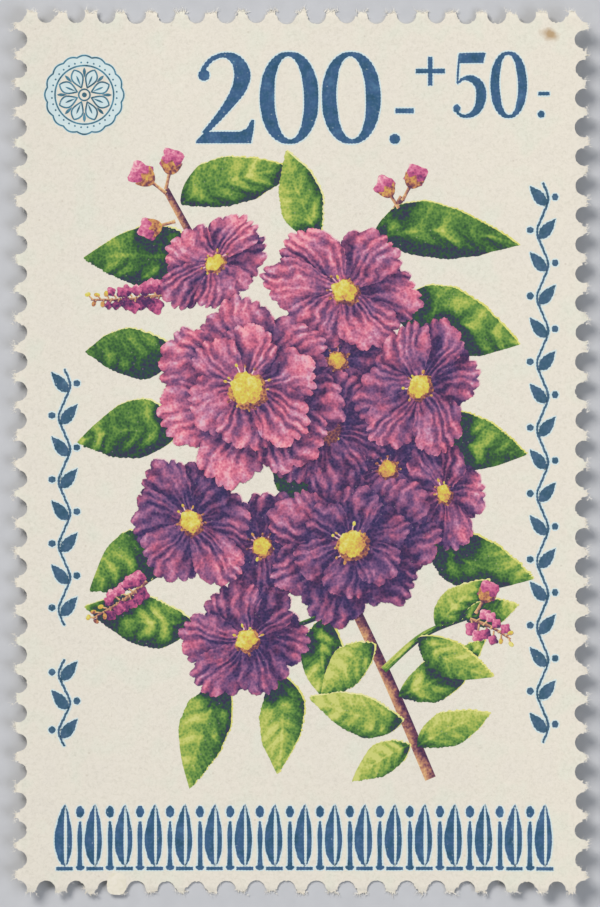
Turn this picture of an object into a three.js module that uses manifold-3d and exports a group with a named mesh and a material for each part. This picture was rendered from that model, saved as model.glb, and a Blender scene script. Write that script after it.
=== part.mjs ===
// A perforated postage stamp, lying face up.
//
// Millimetres, +Z up. The origin is the middle of the gummed back, on the surface that the stamp rests on.
// +X runs across the stamp to its right edge and +Y up the stamp to its top edge.
//
// A stamp is printed and gummed in a sheet, the sheet is punched with straight rows of round pins, and the
// stamps are torn apart along those rows. The model follows the same steps: a sheet of paper and a film of
// gum, each with a slight curl, are cut to the torn outline and then punched by the rows of pins. Half of
// each pin hole stays as a notch, and the paper between two holes stays as a tooth with a torn tip.

import * as THREE from "three";
import { mergeVertices } from "three/addons/utils/BufferGeometryUtils.js";
import Module from "manifold-3d";

// ---- Driving dimensions -------------------------------------------------------------------------------

const stampWidth = 30.15; // between the perforation lines at the left and the right
const stampHeight = 46.65; // between the perforation lines at the bottom and the top
const gaugeLength = 20; // a perforation gauge counts the holes in this length
const gaugeAcross = 12.5; // holes in the gauge length, along the top and bottom rows
const gaugeDown = 12.83; // the same along the left and right rows
const pinRadius = 0.5; // the perforating pins
const firstPinFromLeft = 1.5; // the first whole pin of a horizontal row, from the left line
const firstPinFromTop = 1.37; // the first whole pin of a vertical row, from the top line

const gumThickness = 0.02;
const paperThickness = 0.1;

const flatHalfWidth = 6; // the strip down the middle that lies flat
const leftLift = 0.55; // how far the left edge stands off the surface
const rightLift = 0.85; // the same for the right edge
const cornerShare = 0.45; // the extra lift of a corner, as a share of its edge's lift

const tornMean = 0.13; // how far a torn tip reaches past the perforation line
const tornSpread = 0.14; // how much one tip differs from the next
const tipsPerTooth = 3; // points across the tip of one tooth
const tipShare = 0.44; // they spread over this share of the way from one pin to the next
const tearSeed = 19;

// ---- Values that follow from them ---------------------------------------------------------------------

const pitchAcross = gaugeLength / gaugeAcross;
const pitchDown = gaugeLength / gaugeDown;
const left = -stampWidth / 2;
const right = stampWidth / 2;
const bottom = -stampHeight / 2;
const top = stampHeight / 2;
const pinSides = 14;
const columnStep = 1.7; // the widest cell of the sheet's grid where it curls, across the stamp
const rowStep = 3.4; // the same up the stamp, where the curl changes more slowly
const sheetMargin = 2; // the uncut sheet reaches this far past the perforation lines
const cutterDepth = 8; // pins and the outline's cutter reach well past both faces of the curled sheet

// A seeded generator of numbers from 0 to 1, so that the tears are the same in every build.
function seededRandom(seed) {
  let state = seed;
  return () => {
    state = (state * 16807) % 2147483647;
    return state / 2147483647;
  };
}

// How far a point of the stamp stands off the surface: nothing down the middle, most at the corners.
function curlHeight(x, y) {
  const share = Math.max(0, Math.abs(x) - flatHalfWidth) / (right - flatHalfWidth);
  const edgeLift = x < 0 ? leftLift : rightLift;
  const towardsCorner = (y / top) ** 2;
  return edgeLift * share ** 2 * (1 + cornerShare * towardsCorner);
}

// ---- The curled sheet ---------------------------------------------------------------------------------

// Grid lines from low to high: evenly spaced, and no wider than step.
function evenLines(low, high, step) {
  const count = Math.ceil((high - low) / step);
  return Array.from({ length: count + 1 }, (_, i) => low + ((high - low) * i) / count);
}

// One layer of the sheet, between two heights above its own curled underside.
function curledLayer(lowFace, highFace) {
  const outer = right + sheetMargin;
  const columns = [
    ...evenLines(-outer, -flatHalfWidth, columnStep),
    ...evenLines(flatHalfWidth, outer, columnStep),
  ];
  const rows = evenLines(bottom - sheetMargin, top + sheetMargin, rowStep);
  const columnCells = columns.length - 1;
  const rowCells = rows.length - 1;
  const geometry = new THREE.BoxGeometry(columnCells, rowCells, 1, columnCells, rowCells, 1);
  const place = geometry.getAttribute("position");
  for (let i = 0; i < place.count; i++) {
    const x = columns[Math.round(place.getX(i) + columnCells / 2)];
    const y = rows[Math.round(place.getY(i) + rowCells / 2)];
    const face = place.getZ(i) > 0 ? highFace : lowFace;
    place.setXYZ(i, x, y, face + curlHeight(x, y));
  }
  return geometry;
}

// ---- The cutters --------------------------------------------------------------------------------------

// Where the pins of a row stand, from before one end of the line to past the other.
function pinPlaces(firstPin, pitch, lineLength) {
  const places = [];
  for (let at = firstPin - pitch; at < lineLength + pinRadius; at += pitch) {
    places.push(at);
  }
  return places;
}

const pinsAcross = pinPlaces(firstPinFromLeft, pitchAcross, stampWidth).map((at) => left + at);
const pinsDown = pinPlaces(firstPinFromTop, pitchDown, stampHeight).map((at) => top - at);

// The line that the paper tears along, as a closed outline: straight on the whole, and a little uneven
// between each pin and the next. Pins cut away the stretches where it crosses a hole.
function tornOutline() {
  const random = seededRandom(tearSeed);
  const reach = () => tornMean + tornSpread * (random() - 0.5);
  const along = (pins) => {
    const tips = [];
    for (let i = 0; i + 1 < pins.length; i++) {
      const gap = pins[i + 1] - pins[i];
      for (let k = 0; k < tipsPerTooth; k++) {
        const share = 0.5 + tipShare * (k / (tipsPerTooth - 1) - 0.5);
        tips.push([pins[i] + gap * share, reach()]);
      }
    }
    return tips;
  };
  const tipsAcross = () => along(pinsAcross).filter(([at]) => at > left && at < right);
  const tipsUp = () => along([...pinsDown].reverse()).filter(([at]) => at > bottom && at < top);
  const points = [
    ...tipsAcross().map(([x, out]) => [x, bottom - out]),
    ...tipsUp().map(([y, out]) => [right + out, y]),
    ...tipsAcross().reverse().map(([x, out]) => [x, top + out]),
    ...tipsUp().reverse().map(([y, out]) => [left - out, y]),
  ];
  return new THREE.Shape(points.map(([x, y]) => new THREE.Vector2(x, y)));
}

function outlineCutter() {
  const geometry = new THREE.ExtrudeGeometry(tornOutline(), { depth: cutterDepth, bevelEnabled: false });
  return geometry.translate(0, 0, -cutterDepth / 2);
}

function pin(x, y) {
  const geometry = new THREE.CylinderGeometry(pinRadius, pinRadius, cutterDepth, pinSides);
  return geometry.rotateX(Math.PI / 2).translate(x, y, 0);
}

function allPins() {
  const horizontal = pinsAcross.flatMap((x) => [pin(x, bottom), pin(x, top)]);
  const vertical = pinsDown.flatMap((y) => [pin(left, y), pin(right, y)]);
  return [...horizontal, ...vertical];
}

// ---- Solids -------------------------------------------------------------------------------------------

const wasm = await Module();
wasm.setup();

function toSolid(geometry) {
  const bare = geometry.clone();
  bare.deleteAttribute("normal");
  bare.deleteAttribute("uv");
  const merged = mergeVertices(bare, 1e-5);
  return new wasm.Manifold(
    new wasm.Mesh({
      numProp: 3,
      vertProperties: new Float32Array(merged.getAttribute("position").array),
      triVerts: new Uint32Array(merged.index.array),
    }),
  );
}

function toGeometry(solid) {
  const mesh = solid.getMesh();
  const geometry = new THREE.BufferGeometry();
  geometry.setAttribute("position", new THREE.BufferAttribute(new Float32Array(mesh.vertProperties), 3));
  geometry.setIndex(new THREE.BufferAttribute(new Uint32Array(mesh.triVerts), 1));
  geometry.computeVertexNormals();
  return geometry;
}

const outline = toSolid(outlineCutter());
const pins = allPins()
  .map(toSolid)
  .reduce((joined, one) => joined.add(one));

// Cuts a layer of the sheet to one stamp: torn along its edges, then punched.
function cutToStamp(layer) {
  return toGeometry(layer.intersect(outline).subtract(pins));
}

// The film of gum is cut by the underside of the paper, so that the two meet face to face on every facet.
function gumFilm() {
  const thick = toSolid(curledLayer(0, 2 * gumThickness));
  const aboveGum = toSolid(curledLayer(gumThickness, cutterDepth));
  return cutToStamp(thick.subtract(aboveGum));
}

function paperSheet() {
  return cutToStamp(toSolid(curledLayer(gumThickness, gumThickness + paperThickness)));
}

// ---- Materials and nodes ------------------------------------------------------------------------------

const paperMaterial = new THREE.MeshStandardMaterial({ color: "#e8e3d6", roughness: 0.85, metalness: 0 });
const gumMaterial = new THREE.MeshStandardMaterial({ color: "#e3dcc4", roughness: 0.4, metalness: 0 });

function node(name, geometry, material) {
  const mesh = new THREE.Mesh(geometry, material);
  mesh.name = name;
  return mesh;
}

const stamp = new THREE.Group();
stamp.add(node("gum_film", gumFilm(), gumMaterial));
stamp.add(node("paper_sheet", paperSheet(), paperMaterial));

export default stamp;
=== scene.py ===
# %% [markdown]
# # A perforated postage stamp with a printed flower spray
#
# A stamp is a small sandwich: a film of dried gum, a sheet of paper, and films of printing ink on top.
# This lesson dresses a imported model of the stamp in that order, from the table upwards.
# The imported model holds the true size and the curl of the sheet, so every measure here follows from it.

import math

import bpy
import numpy as np
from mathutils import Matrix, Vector
from mathutils.geometry import delaunay_2d_cdt


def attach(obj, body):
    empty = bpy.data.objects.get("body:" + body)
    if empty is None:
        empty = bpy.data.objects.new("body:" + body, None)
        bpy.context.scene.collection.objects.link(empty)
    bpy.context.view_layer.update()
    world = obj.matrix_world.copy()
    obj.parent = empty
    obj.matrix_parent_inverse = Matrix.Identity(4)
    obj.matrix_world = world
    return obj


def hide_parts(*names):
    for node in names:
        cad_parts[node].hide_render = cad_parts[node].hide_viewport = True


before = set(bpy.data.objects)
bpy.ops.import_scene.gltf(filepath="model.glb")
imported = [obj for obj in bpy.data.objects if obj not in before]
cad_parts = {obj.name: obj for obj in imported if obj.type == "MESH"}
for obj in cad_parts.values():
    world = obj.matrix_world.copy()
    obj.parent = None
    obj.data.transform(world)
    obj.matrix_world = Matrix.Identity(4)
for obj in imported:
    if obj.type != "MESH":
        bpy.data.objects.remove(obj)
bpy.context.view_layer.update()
MM = 0.001

# %% [markdown]
# ## Numbers that behave like chance
#
# Torn paper, flecks and brush strokes need chance, but a script should give the same result each time.
# A seeded generator does that. The simple one below is also the one that tore the edges of the model,
# so the finer edge that is built later can start from the very same tears.

# %% Seeded chance
MODULUS = 2147483647
MULTIPLIER = 16807


class Chance:
    """A seeded stream of numbers from 0 to 1."""

    def __init__(self, seed):
        self.state = seed

    def draw(self):
        self.state = self.state * MULTIPLIER % MODULUS
        return self.state / MODULUS

    def between(self, low, high):
        return low + (high - low) * self.draw()

    def spread(self, amount, count):
        """Several numbers between minus and plus an amount."""
        return np.array([self.between(-amount, amount) for _ in range(count)])


print("mean of 1000 draws:", round(float(np.mean(Chance(19).spread(1.0, 1000))), 3))

# %% [markdown]
# ## The shape of the sheet
#
# Gummed paper takes up damp on one face only, so a stamp seldom lies flat. This one lies flat down the
# middle and its long edges lift, most at the corners. The curl is a formula of two lines, so it is
# written out again here, and any ink or fibre can then be laid on the sheet by asking for its height.
# A faint cockle of a few thousandths of a millimetre is added: light shows it only at a low angle.

# %% Height of the sheet
STAMP_WIDTH = 30.15
STAMP_HEIGHT = 46.65
RIGHT = STAMP_WIDTH / 2
TOP = STAMP_HEIGHT / 2
GUM = 0.02
PAPER = 0.1
FLAT_HALF_WIDTH = 6
LEFT_LIFT = 0.55
RIGHT_LIFT = 0.85
CORNER_SHARE = 0.45
COCKLE = 0.006
COCKLE_LENGTH = 5.5


def curl(x, y):
    """How far the underside stands off the table, in mm, for numbers or arrays."""
    share = np.maximum(0, np.abs(x) - FLAT_HALF_WIDTH) / (RIGHT - FLAT_HALF_WIDTH)
    edge_lift = np.where(np.asarray(x) < 0, LEFT_LIFT, RIGHT_LIFT)
    return edge_lift * share**2 * (1 + CORNER_SHARE * (y / TOP) ** 2)


def paper_top(x, y):
    """The printed face, in mm."""
    turn = 2 * math.pi / COCKLE_LENGTH
    cockle = np.sin(turn * (x + 0.4 * y)) * np.sin(turn * (0.8 * y - 0.3 * x) + 1.0)
    return curl(x, y) + GUM + PAPER + COCKLE * (cockle - 1)


print("printed face at a corner, mm:", round(float(paper_top(RIGHT, TOP)), 3))

# %% [markdown]
# ## Outlines
#
# Almost everything on a stamp is a thin film with some outline: paper, gum, a numeral, a petal.
# An outline here is an array of points that runs anticlockwise. The helpers below measure how far a
# point is from an outline, and in which direction, and tell whether the point lies inside it.

# %% Measuring from outlines
SHORTEST = 1e-6
POINTS_AT_A_TIME = 2000


def ring_of(points):
    """An outline as an array of rows x, y that runs anticlockwise."""
    ring = np.asarray(points, float)
    following = np.roll(ring, -1, axis=0)
    area = np.sum(ring[:, 0] * following[:, 1] - following[:, 0] * ring[:, 1])
    return ring if area > 0 else ring[::-1].copy()


def nearest_edge(ring, points):
    """The distance of each point to an outline, and the direction from the point to it."""
    start = ring[None, :, :]
    along = np.roll(ring, -1, axis=0)[None, :, :] - start
    offset = points[:, None, :] - start
    square = np.maximum(np.sum(along**2, axis=2), SHORTEST**2)
    share = np.clip(np.sum(offset * along, axis=2) / square, 0, 1)
    gap = share[:, :, None] * along - offset
    length = np.sqrt(np.sum(gap**2, axis=2))
    rows = np.arange(len(points))
    nearest = np.argmin(length, axis=1)
    distance = length[rows, nearest]
    return distance, gap[rows, nearest] / np.maximum(distance, SHORTEST)[:, None]


def inside(ring, points):
    """True for each point within an outline: a line from it crosses the outline an odd number of times.
    Only points within the outline's box are tried, a few thousand at a time."""
    result = np.zeros(len(points), bool)
    boxed = np.all((points >= ring.min(axis=0)) & (points <= ring.max(axis=0)), axis=1)
    ax, ay = ring[None, :, 0], ring[None, :, 1]
    bx, by = np.roll(ax, -1, axis=1), np.roll(ay, -1, axis=1)
    rise = np.where(by == ay, 1, by - ay)
    for rows in np.array_split(np.flatnonzero(boxed), 1 + boxed.sum() // POINTS_AT_A_TIME):
        x, y = points[rows, 0:1], points[rows, 1:2]
        crosses = (ay > y) != (by > y)
        hits = crosses & (x < (bx - ax) * (y - ay) / rise + ax)
        result[rows] = np.sum(hits, axis=1) % 2 == 1
    return result


square = [(0, 0), (1, 0), (1, 1), (0, 1)]
tries = np.array([[0.5, 0.5], [2.0, 0.5]])
print("inside a square, its middle and a far point:", inside(ring_of(square), tries))


# %% Circles and ovals
def even_turns(sides):
    """Even steps of one full turn, in radians."""
    return np.arange(sides) * 2 * math.pi / sides


def circle(x, y, radius, sides):
    """A circle as an outline with even sides."""
    turn = even_turns(sides)
    return ring_of(np.column_stack([x + radius * np.cos(turn), y + radius * np.sin(turn)]))


def oval(x, y, half_width, half_height, tilt=0.0, sides=72, power=2.15):
    """A slightly squared oval, as type founders draw it."""
    turn = even_turns(sides)
    c, s = np.cos(turn), np.sin(turn)
    a = half_width * np.sign(c) * np.abs(c) ** (2 / power)
    b = half_height * np.sign(s) * np.abs(s) ** (2 / power)
    ct, st = math.cos(tilt), math.sin(tilt)
    return ring_of(np.column_stack([x + a * ct - b * st, y + a * st + b * ct]))


middle_to_edge = nearest_edge(circle(0, 0, 1, 64), np.zeros((1, 2)))[0]
print("from the middle of a unit circle to its edge:", middle_to_edge)

# %% [markdown]
# ## Thin films as closed solids
#
# One helper turns outlines into a film. It fills them with triangles, leaves the holes free, lays the
# triangles on the curled sheet, and closes the film with an underside and a rim.
# The triangles come from a constrained Delaunay triangulation, which Blender has built in.
# A subdivided plane with a Boolean would also do it, but it is slower and leaves uneven slivers.

# %% Filling an outline
LONG_OUTLINE = 400
ROW_PITCH = 0.87
CLEAR_OF_OUTLINE = 0.35
WELD = 1e-5


def grid_points(low, high, step):
    """Points of a triangular grid between two corners. Its rows are as far apart as an even triangle
    with a side of one step is high."""
    rows = np.arange(low[1], high[1], step * ROW_PITCH)
    columns = np.arange(low[0], high[0], step)
    x, y = np.meshgrid(columns, rows)
    x = x + (np.arange(len(rows)) % 2)[:, None] * step / 2
    return np.column_stack([x.ravel(), y.ravel()])


def fill(adds, cuts, step, extra=None):
    """Triangles inside the outlines adds and outside the outlines cuts. Points of a grid lie within, and
    none of them stands so near a short outline that it would make a sliver."""
    rings = [ring_of(ring) for ring in [*adds, *cuts]]
    corners = np.vstack(rings)
    first = np.cumsum([0] + [len(ring) for ring in rings])
    loops = [list(range(first[i], first[i + 1])) for i in range(len(rings))]
    grid = grid_points(corners.min(axis=0), corners.max(axis=0), step)
    grid = grid[np.any([inside(ring, grid) for ring in rings[: len(adds)]], axis=0)]
    for ring in rings:
        if len(ring) < LONG_OUTLINE:
            grid = grid[nearest_edge(ring, grid)[0] > step * CLEAR_OF_OUTLINE]
    if extra is not None:
        grid = np.vstack([grid, extra])
    points = [Vector(point) for point in np.vstack([corners, grid])]
    flat, _, faces, _, _, _ = delaunay_2d_cdt(points, [], loops, 0, WELD)
    flat = np.array([point[:] for point in flat])
    faces = np.array(faces)
    middles = flat[faces].mean(axis=1)
    kept = np.any([inside(ring, middles) for ring in rings[: len(adds)]], axis=0)
    for ring in rings[len(adds) :]:
        kept &= ~inside(ring, middles)
    used, faces = np.unique(faces[kept], return_inverse=True)
    return flat[used], faces.reshape(-1, 3)


print("triangles that fill a square:", len(fill([square], [], 0.25)[1]))


# %% Films
class Film:
    """Collects closed thin films and turns them into one Blender object."""

    def __init__(self, name):
        self.name = name
        self.places = []
        self.faces = []
        self.brush = []
        self.tone = []
        self.count = 0

    def add(self, adds, cuts, low, high, step, paint=None, extra=None):
        """Adds the film inside adds and outside cuts, between the heights low and high. Paint gives two
        sets of numbers for each point, which the ink materials read."""
        flat, triangles = fill(adds, cuts, step, extra)
        count = len(flat)
        x, y = flat[:, 0], flat[:, 1]
        self.places += [np.column_stack([x, y, high(x, y)]), np.column_stack([x, y, low(x, y)])]
        edges = {(face[i], face[(i + 1) % 3]) for face in triangles.tolist() for i in range(3)}
        rim = sorted((a, b) for a, b in edges if (b, a) not in edges)
        base = self.count
        self.faces += (triangles + base).tolist()
        self.faces += (triangles[:, ::-1] + base + count).tolist()
        self.faces += [[base + b, base + a, base + count + a, base + count + b] for a, b in rim]
        brush, tone = paint(flat) if paint else (np.zeros((count, 3)), np.zeros((count, 3)))
        self.brush += [brush, brush]
        self.tone += [tone, tone]
        self.count += 2 * count

    def build(self, material, slot):
        """Makes one mesh of all films so far and puts it in the scene."""
        mesh = bpy.data.meshes.new(self.name)
        mesh.from_pydata((np.vstack(self.places) * MM).tolist(), [], self.faces)
        for label, rows in (("brush", self.brush), ("tone", self.tone)):
            attribute = mesh.attributes.new(label, "FLOAT_VECTOR", "POINT")
            attribute.data.foreach_set("vector", np.vstack(rows).astype(np.float32).ravel())
        mesh.materials.append(material)
        return place_piece(self.name, mesh)


trial = Film("trial")
trial.add([square], [], lambda x, y: 0 * x, lambda x, y: 0 * x + PAPER, 0.5)
print("faces of a closed square film:", len(trial.faces))

# %% Pieces
SHARP_FROM = math.radians(35)


def put_in_scene(name, data):
    """Makes an object of a mesh, a lamp or a camera and puts it in the scene."""
    thing = bpy.data.objects.new(name, data)
    bpy.context.scene.collection.objects.link(thing)
    return thing


def place_piece(name, mesh):
    """Puts a mesh in the scene as a piece that moves with the stamp."""
    mesh.shade_smooth()
    mesh.set_sharp_from_angle(angle=SHARP_FROM)
    piece = put_in_scene(name, mesh)
    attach(piece, "root")
    print(name, "faces:", len(mesh.polygons))
    return piece


print("edges are sharp from an angle of degrees:", round(math.degrees(SHARP_FROM)))

# %% [markdown]
# ## Materials as small graphs
#
# A material here is a graph of nodes. One function turns the sRGB colour that a paint chart gives into
# the linear colour that Blender mixes with, and one more adds a node, sets it and wires it in one go.
# Places are turned into millimetres first, so that each pattern's size can be written as a real one.
# Inputs go by name, or by number where a node has a name more than once: in MapRange, 1 and 2 are the
# range that comes in and 3 and 4 the range that goes out, and in Mix, 6 and 7 are the two colours.

# %% Colours and nodes
def linear(hex_colour):
    """An sRGB colour such as #e6e1d3 as linear red, green, blue and alpha."""
    parts = [int(hex_colour[i : i + 2], 16) / 255 for i in (1, 3, 5)]
    curve = [v / 12.92 if v <= 0.04045 else ((v + 0.055) / 1.055) ** 2.4 for v in parts]
    return (*curve, 1.0)


def add_node(tree, kind, inputs=None, out=0, stops=(), **settings):
    """Adds a node and returns one of its outputs. Inputs are values or other nodes' outputs, by socket
    name or number. Stops are a ramp's places and colours. Settings are the node's own properties."""
    node = tree.nodes.new("ShaderNode" + kind)
    for key, value in settings.items():
        setattr(node, key, value)
    for i, (place, colour) in enumerate(stops):
        stop = node.color_ramp.elements[i] if i < 2 else node.color_ramp.elements.new(place)
        stop.position = place
        stop.color = linear(colour)
    for key, value in (inputs or {}).items():
        if isinstance(value, bpy.types.NodeSocket):
            tree.links.new(value, node.inputs[key])
        else:
            node.inputs[key].default_value = value
    return node.outputs[out] if node.outputs else node


print("cream paper in linear colour:", [round(v, 3) for v in linear("#e6e1d3")])

# %% Start and end of a material
POROUS = 0.25


def begin_material(name):
    """An empty material, its tree, and the place of each point in millimetres."""
    material = bpy.data.materials.new(name)
    material.use_nodes = True
    tree = material.node_tree
    tree.nodes.clear()
    place = add_node(tree, "NewGeometry", out="Position")
    return material, tree, add_node(tree, "VectorMath", {0: place, "Scale": 1 / MM}, operation="SCALE")


def finish_material(tree, colour, roughness, ior, bump_height=None, bump_mm=0.0, gloss=0.5):
    """Ends a material in a Principled surface. Gloss under 0.5 is for porous surfaces, which trap light."""
    inputs = {"Base Color": colour, "Roughness": roughness, "IOR": ior, "Specular IOR Level": gloss}
    if bump_height is not None:
        inputs["Normal"] = add_node(tree, "Bump", {"Height": bump_height, "Distance": bump_mm * MM})
    surface = add_node(tree, "BsdfPrincipled", inputs)
    add_node(tree, "OutputMaterial", {"Surface": surface})


print("gloss of a porous surface, against 0.5 for a closed one:", POROUS)

# %% [markdown]
# ## Camera, floor and light
#
# A stamp is looked at from straight above. A long lens keeps its sides parallel, as a copying camera does,
# and makes the lifted edges look no larger than the flat middle. The light is plain: a broad soft panel at
# the upper left, a weaker one opposite, and a pale surround. The floor is a large disc of matt board, a
# little darker than the paper so that the teeth can be read. Its far rim rises like a studio's paper
# sweep, so that the board fills the view from most sides.

# %% Camera
LENS = 500
SENSOR = 36
VIEW_HEIGHT = 48.34
VIEW_MIDDLE = (-0.053, -0.073)

camera_data = bpy.data.cameras.new("copy_camera")
camera_data.lens = LENS
camera_data.sensor_width = SENSOR
camera_data.clip_start = 0.01
camera_data.clip_end = 20
camera = put_in_scene("copy_camera", camera_data)
camera_distance = VIEW_HEIGHT * LENS / SENSOR
camera.location = Vector((*VIEW_MIDDLE, camera_distance)) * MM
bpy.context.scene.camera = camera
print("camera stands", round(camera_distance), "mm above the stamp")

# %% Floor
FLOOR_PROFILE = [(1500, 0), (1800, 12), (2100, 48), (2400, 108), (2700, 192), (3000, 300)]
FLOOR_SIDES = 96
BOARD_GRAIN = 1.1


def board_material():
    """Grey pressed board, unglazed. Its short grain scatters light evenly, so it shows no gloss."""
    material, tree, place = begin_material("matt_pressed_board")
    grain = add_node(tree, "TexNoise", {"Vector": place, "Scale": 1 / BOARD_GRAIN, "Detail": 3.0})
    colour = add_node(tree, "ValToRGB", {"Fac": grain}, stops=[(0.3, "#bcbec2"), (0.7, "#c2c4c8")])
    finish_material(tree, colour, 0.95, 1.45)
    return material


floor_mesh = bpy.data.meshes.new("matt_board_floor")
floor_places = []
floor_faces = [list(range(FLOOR_SIDES))]
for radius, height in FLOOR_PROFILE:
    first = len(floor_places)
    floor_places += [(*point, height * MM) for point in circle(0, 0, radius * MM, FLOOR_SIDES)]
    for i in range(FLOOR_SIDES if first else 0):
        j = (i + 1) % FLOOR_SIDES
        floor_faces.append([first - FLOOR_SIDES + i, first + i, first + j, first - FLOOR_SIDES + j])
floor_mesh.from_pydata(floor_places, [], floor_faces)
floor_mesh.shade_smooth()
floor_mesh.materials.append(board_material())
floor = put_in_scene("matt_board_floor", floor_mesh)
print("floor corners:", len(floor_mesh.vertices))


# %% Light
SURROUND_STRENGTH = 0.4


def soft_panel(name, place_mm, size_mm, power, colour):
    """A round panel that faces the stamp."""
    data = bpy.data.lights.new(name, "AREA")
    data.shape = "DISK"
    data.size = size_mm * MM
    data.energy = power
    data.color = linear(colour)[:3]
    panel = put_in_scene(name, data)
    panel.location = Vector(place_mm) * MM
    panel.rotation_euler = (-panel.location).to_track_quat("-Z", "Y").to_euler()
    print(name, "power in watts:", power)


soft_panel("main_panel", (-420, 520, 700), 420, 7.72, "#fffaf4")
soft_panel("fill_panel", (560, -260, 620), 500, 2.3, "#f4f7ff")
world = bpy.data.worlds.new("pale_surround")
world.use_nodes = True
background = world.node_tree.nodes["Background"]
background.inputs["Color"].default_value = linear("#dfe3e8")
background.inputs["Strength"].default_value = SURROUND_STRENGTH
bpy.context.scene.world = world
bpy.context.scene.view_settings.view_transform = "Standard"
bpy.context.scene.view_settings.look = "None"

# %% [markdown]
# ## The perforated and torn outline
#
# A perforating machine punches rows of round holes, and the stamp is then torn from its neighbours.
# The gauge of a stamp is the number of holes in 20 mm. The outline is a rough straight tear with the
# holes cut out of it, and the tips of the teeth end in ragged fibre. The tear starts from the same tips
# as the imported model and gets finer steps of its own, with a longer shred here and there. A hole is a
# circle with burrs, because blunt pins push fibres aside.

# %% Rows of pins
GAUGE_LENGTH = 20
GAUGE_ACROSS = 12.5
GAUGE_DOWN = 12.83
PITCH_ACROSS = GAUGE_LENGTH / GAUGE_ACROSS
PITCH_DOWN = GAUGE_LENGTH / GAUGE_DOWN
PIN_RADIUS = 0.5
FIRST_PIN_FROM_LEFT = 1.5
FIRST_PIN_FROM_TOP = 1.37


def pin_places(first_pin, pitch, line_length):
    """Places of the pins along one line, with the first one past each corner."""
    count = int((line_length + PIN_RADIUS - first_pin) // pitch) + 2
    return [first_pin + pitch * (i - 1) for i in range(count)]


pins_across = [at - RIGHT for at in pin_places(FIRST_PIN_FROM_LEFT, PITCH_ACROSS, STAMP_WIDTH)]
pins_down = [TOP - at for at in pin_places(FIRST_PIN_FROM_TOP, PITCH_DOWN, STAMP_HEIGHT)]
hole_places = [(x, side * TOP) for x in pins_across for side in (-1, 1)]
hole_places += [(side * RIGHT, y) for y in pins_down for side in (-1, 1)]
print("pins across and down:", len(pins_across), len(pins_down))

# %% Tips of the teeth
TORN_MEAN = 0.13
TORN_SPREAD = 0.14
TIPS_PER_TOOTH = 3
TIP_SHARE = 0.44
TEAR_SEED = 19
tear = Chance(TEAR_SEED)


def coarse_tips(pins, limit):
    """The tips along one line of pins, as pairs of a place along the line and a reach past it."""
    tips = []
    for start, end in zip(pins, pins[1:]):
        for k in range(TIPS_PER_TOOTH):
            share = 0.5 + TIP_SHARE * (k / (TIPS_PER_TOOTH - 1) - 0.5)
            reach = TORN_MEAN + TORN_SPREAD * (tear.draw() - 0.5)
            tips.append((start + (end - start) * share, reach))
    return [tip for tip in tips if abs(tip[0]) < limit]


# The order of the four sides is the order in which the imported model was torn.
below = [(x, -TOP - out) for x, out in coarse_tips(pins_across, RIGHT)]
right = [(RIGHT + out, y) for y, out in coarse_tips(pins_down[::-1], TOP)]
above = [(x, TOP + out) for x, out in coarse_tips(pins_across, RIGHT)][::-1]
left = [(-RIGHT - out, y) for y, out in coarse_tips(pins_down[::-1], TOP)][::-1]
tooth_tips = below + right + above + left
print("tips on the four sides:", len(below), len(right), len(above), len(left))

# %% The torn line
FINE_TEAR_STEP = 0.035
FINE_TEAR = 0.06
FINE_TEAR_SEED = 41
DRIFT_KEPT = 0.6
CALM_AT_TIPS = 0.4
SHRED_CHANCE = 0.13
SHRED_REACH = (0.5, 2.2)


def ragged(start, end, chance):
    """Fine steps from start to end, with the start point and without the end point. Each step drifts on
    from the last one, most of all between two tips, and now and then a shred stands out."""
    start, end = np.array(start), np.array(end)
    length = np.linalg.norm(end - start)
    count = max(1, round(length / FINE_TEAR_STEP))
    outward = np.array([end[1] - start[1], start[0] - end[0]]) / length
    points = []
    drift = 0.0
    for i in range(count):
        drift = DRIFT_KEPT * drift + chance.between(-1, 1)
        shred = chance.between(*SHRED_REACH) if chance.draw() < SHRED_CHANCE else 0.0
        swell = CALM_AT_TIPS + (1 - CALM_AT_TIPS) * math.sin(math.pi * i / count)
        points.append(start + (end - start) * i / count + outward * FINE_TEAR * (drift * swell + shred))
    return points


fine_tear = Chance(FINE_TEAR_SEED)
tear_points = []
for start, end in zip(tooth_tips, tooth_tips[1:] + tooth_tips[:1]):
    tear_points += ragged(start, end, fine_tear)
tear_line = ring_of(tear_points)
print("points on the tear:", len(tear_line))

# %% Punched holes
HOLE_SIDES = 40
BURR = 0.018
DEEP_BURR = 0.08
DEEP_BURR_CHANCE = 0.05
PIN_WEAR = 0.035
OUT_OF_ROUND = 0.03
HOLE_SEED = 7


def punched_holes(radius, seed):
    """Nearly round holes from worn pins, with burrs that stand into them."""
    chance = Chance(seed)
    holes = []
    for x, y in hole_places:
        burrs = []
        for _ in range(HOLE_SIDES):
            deepest = DEEP_BURR if chance.draw() < DEEP_BURR_CHANCE else BURR
            burrs.append(chance.between(0, deepest))
        worn = radius + chance.between(-PIN_WEAR, PIN_WEAR / 2)
        rim = circle(0, 0, 1, HOLE_SIDES) * (worn + BURR / 2 - np.array(burrs))[:, None]
        holes.append(rim * (1 + chance.spread(OUT_OF_ROUND, 2)) + (x, y))
    return holes


holes = punched_holes(PIN_RADIUS, HOLE_SEED)
print("holes:", len(holes))

# %% [markdown]
# ### Lost corners
#
# A stamp that is torn from its sheet never parts quite along the line. At the corners of a tooth, where it
# meets the holes, small bits of paper stay with the neighbour, and the flank of the tooth slopes.

# %% Lost corners
LOST_CORNER_CHANCE = 0.75
LOST_CORNER = (0.05, 0.17)
LOST_CORNER_LUMPS = 0.3
LOST_CORNER_SIDES = 12
LOST_CORNER_DEPTH = 1.5
LOST_CORNER_LENGTH = 0.9


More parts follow.
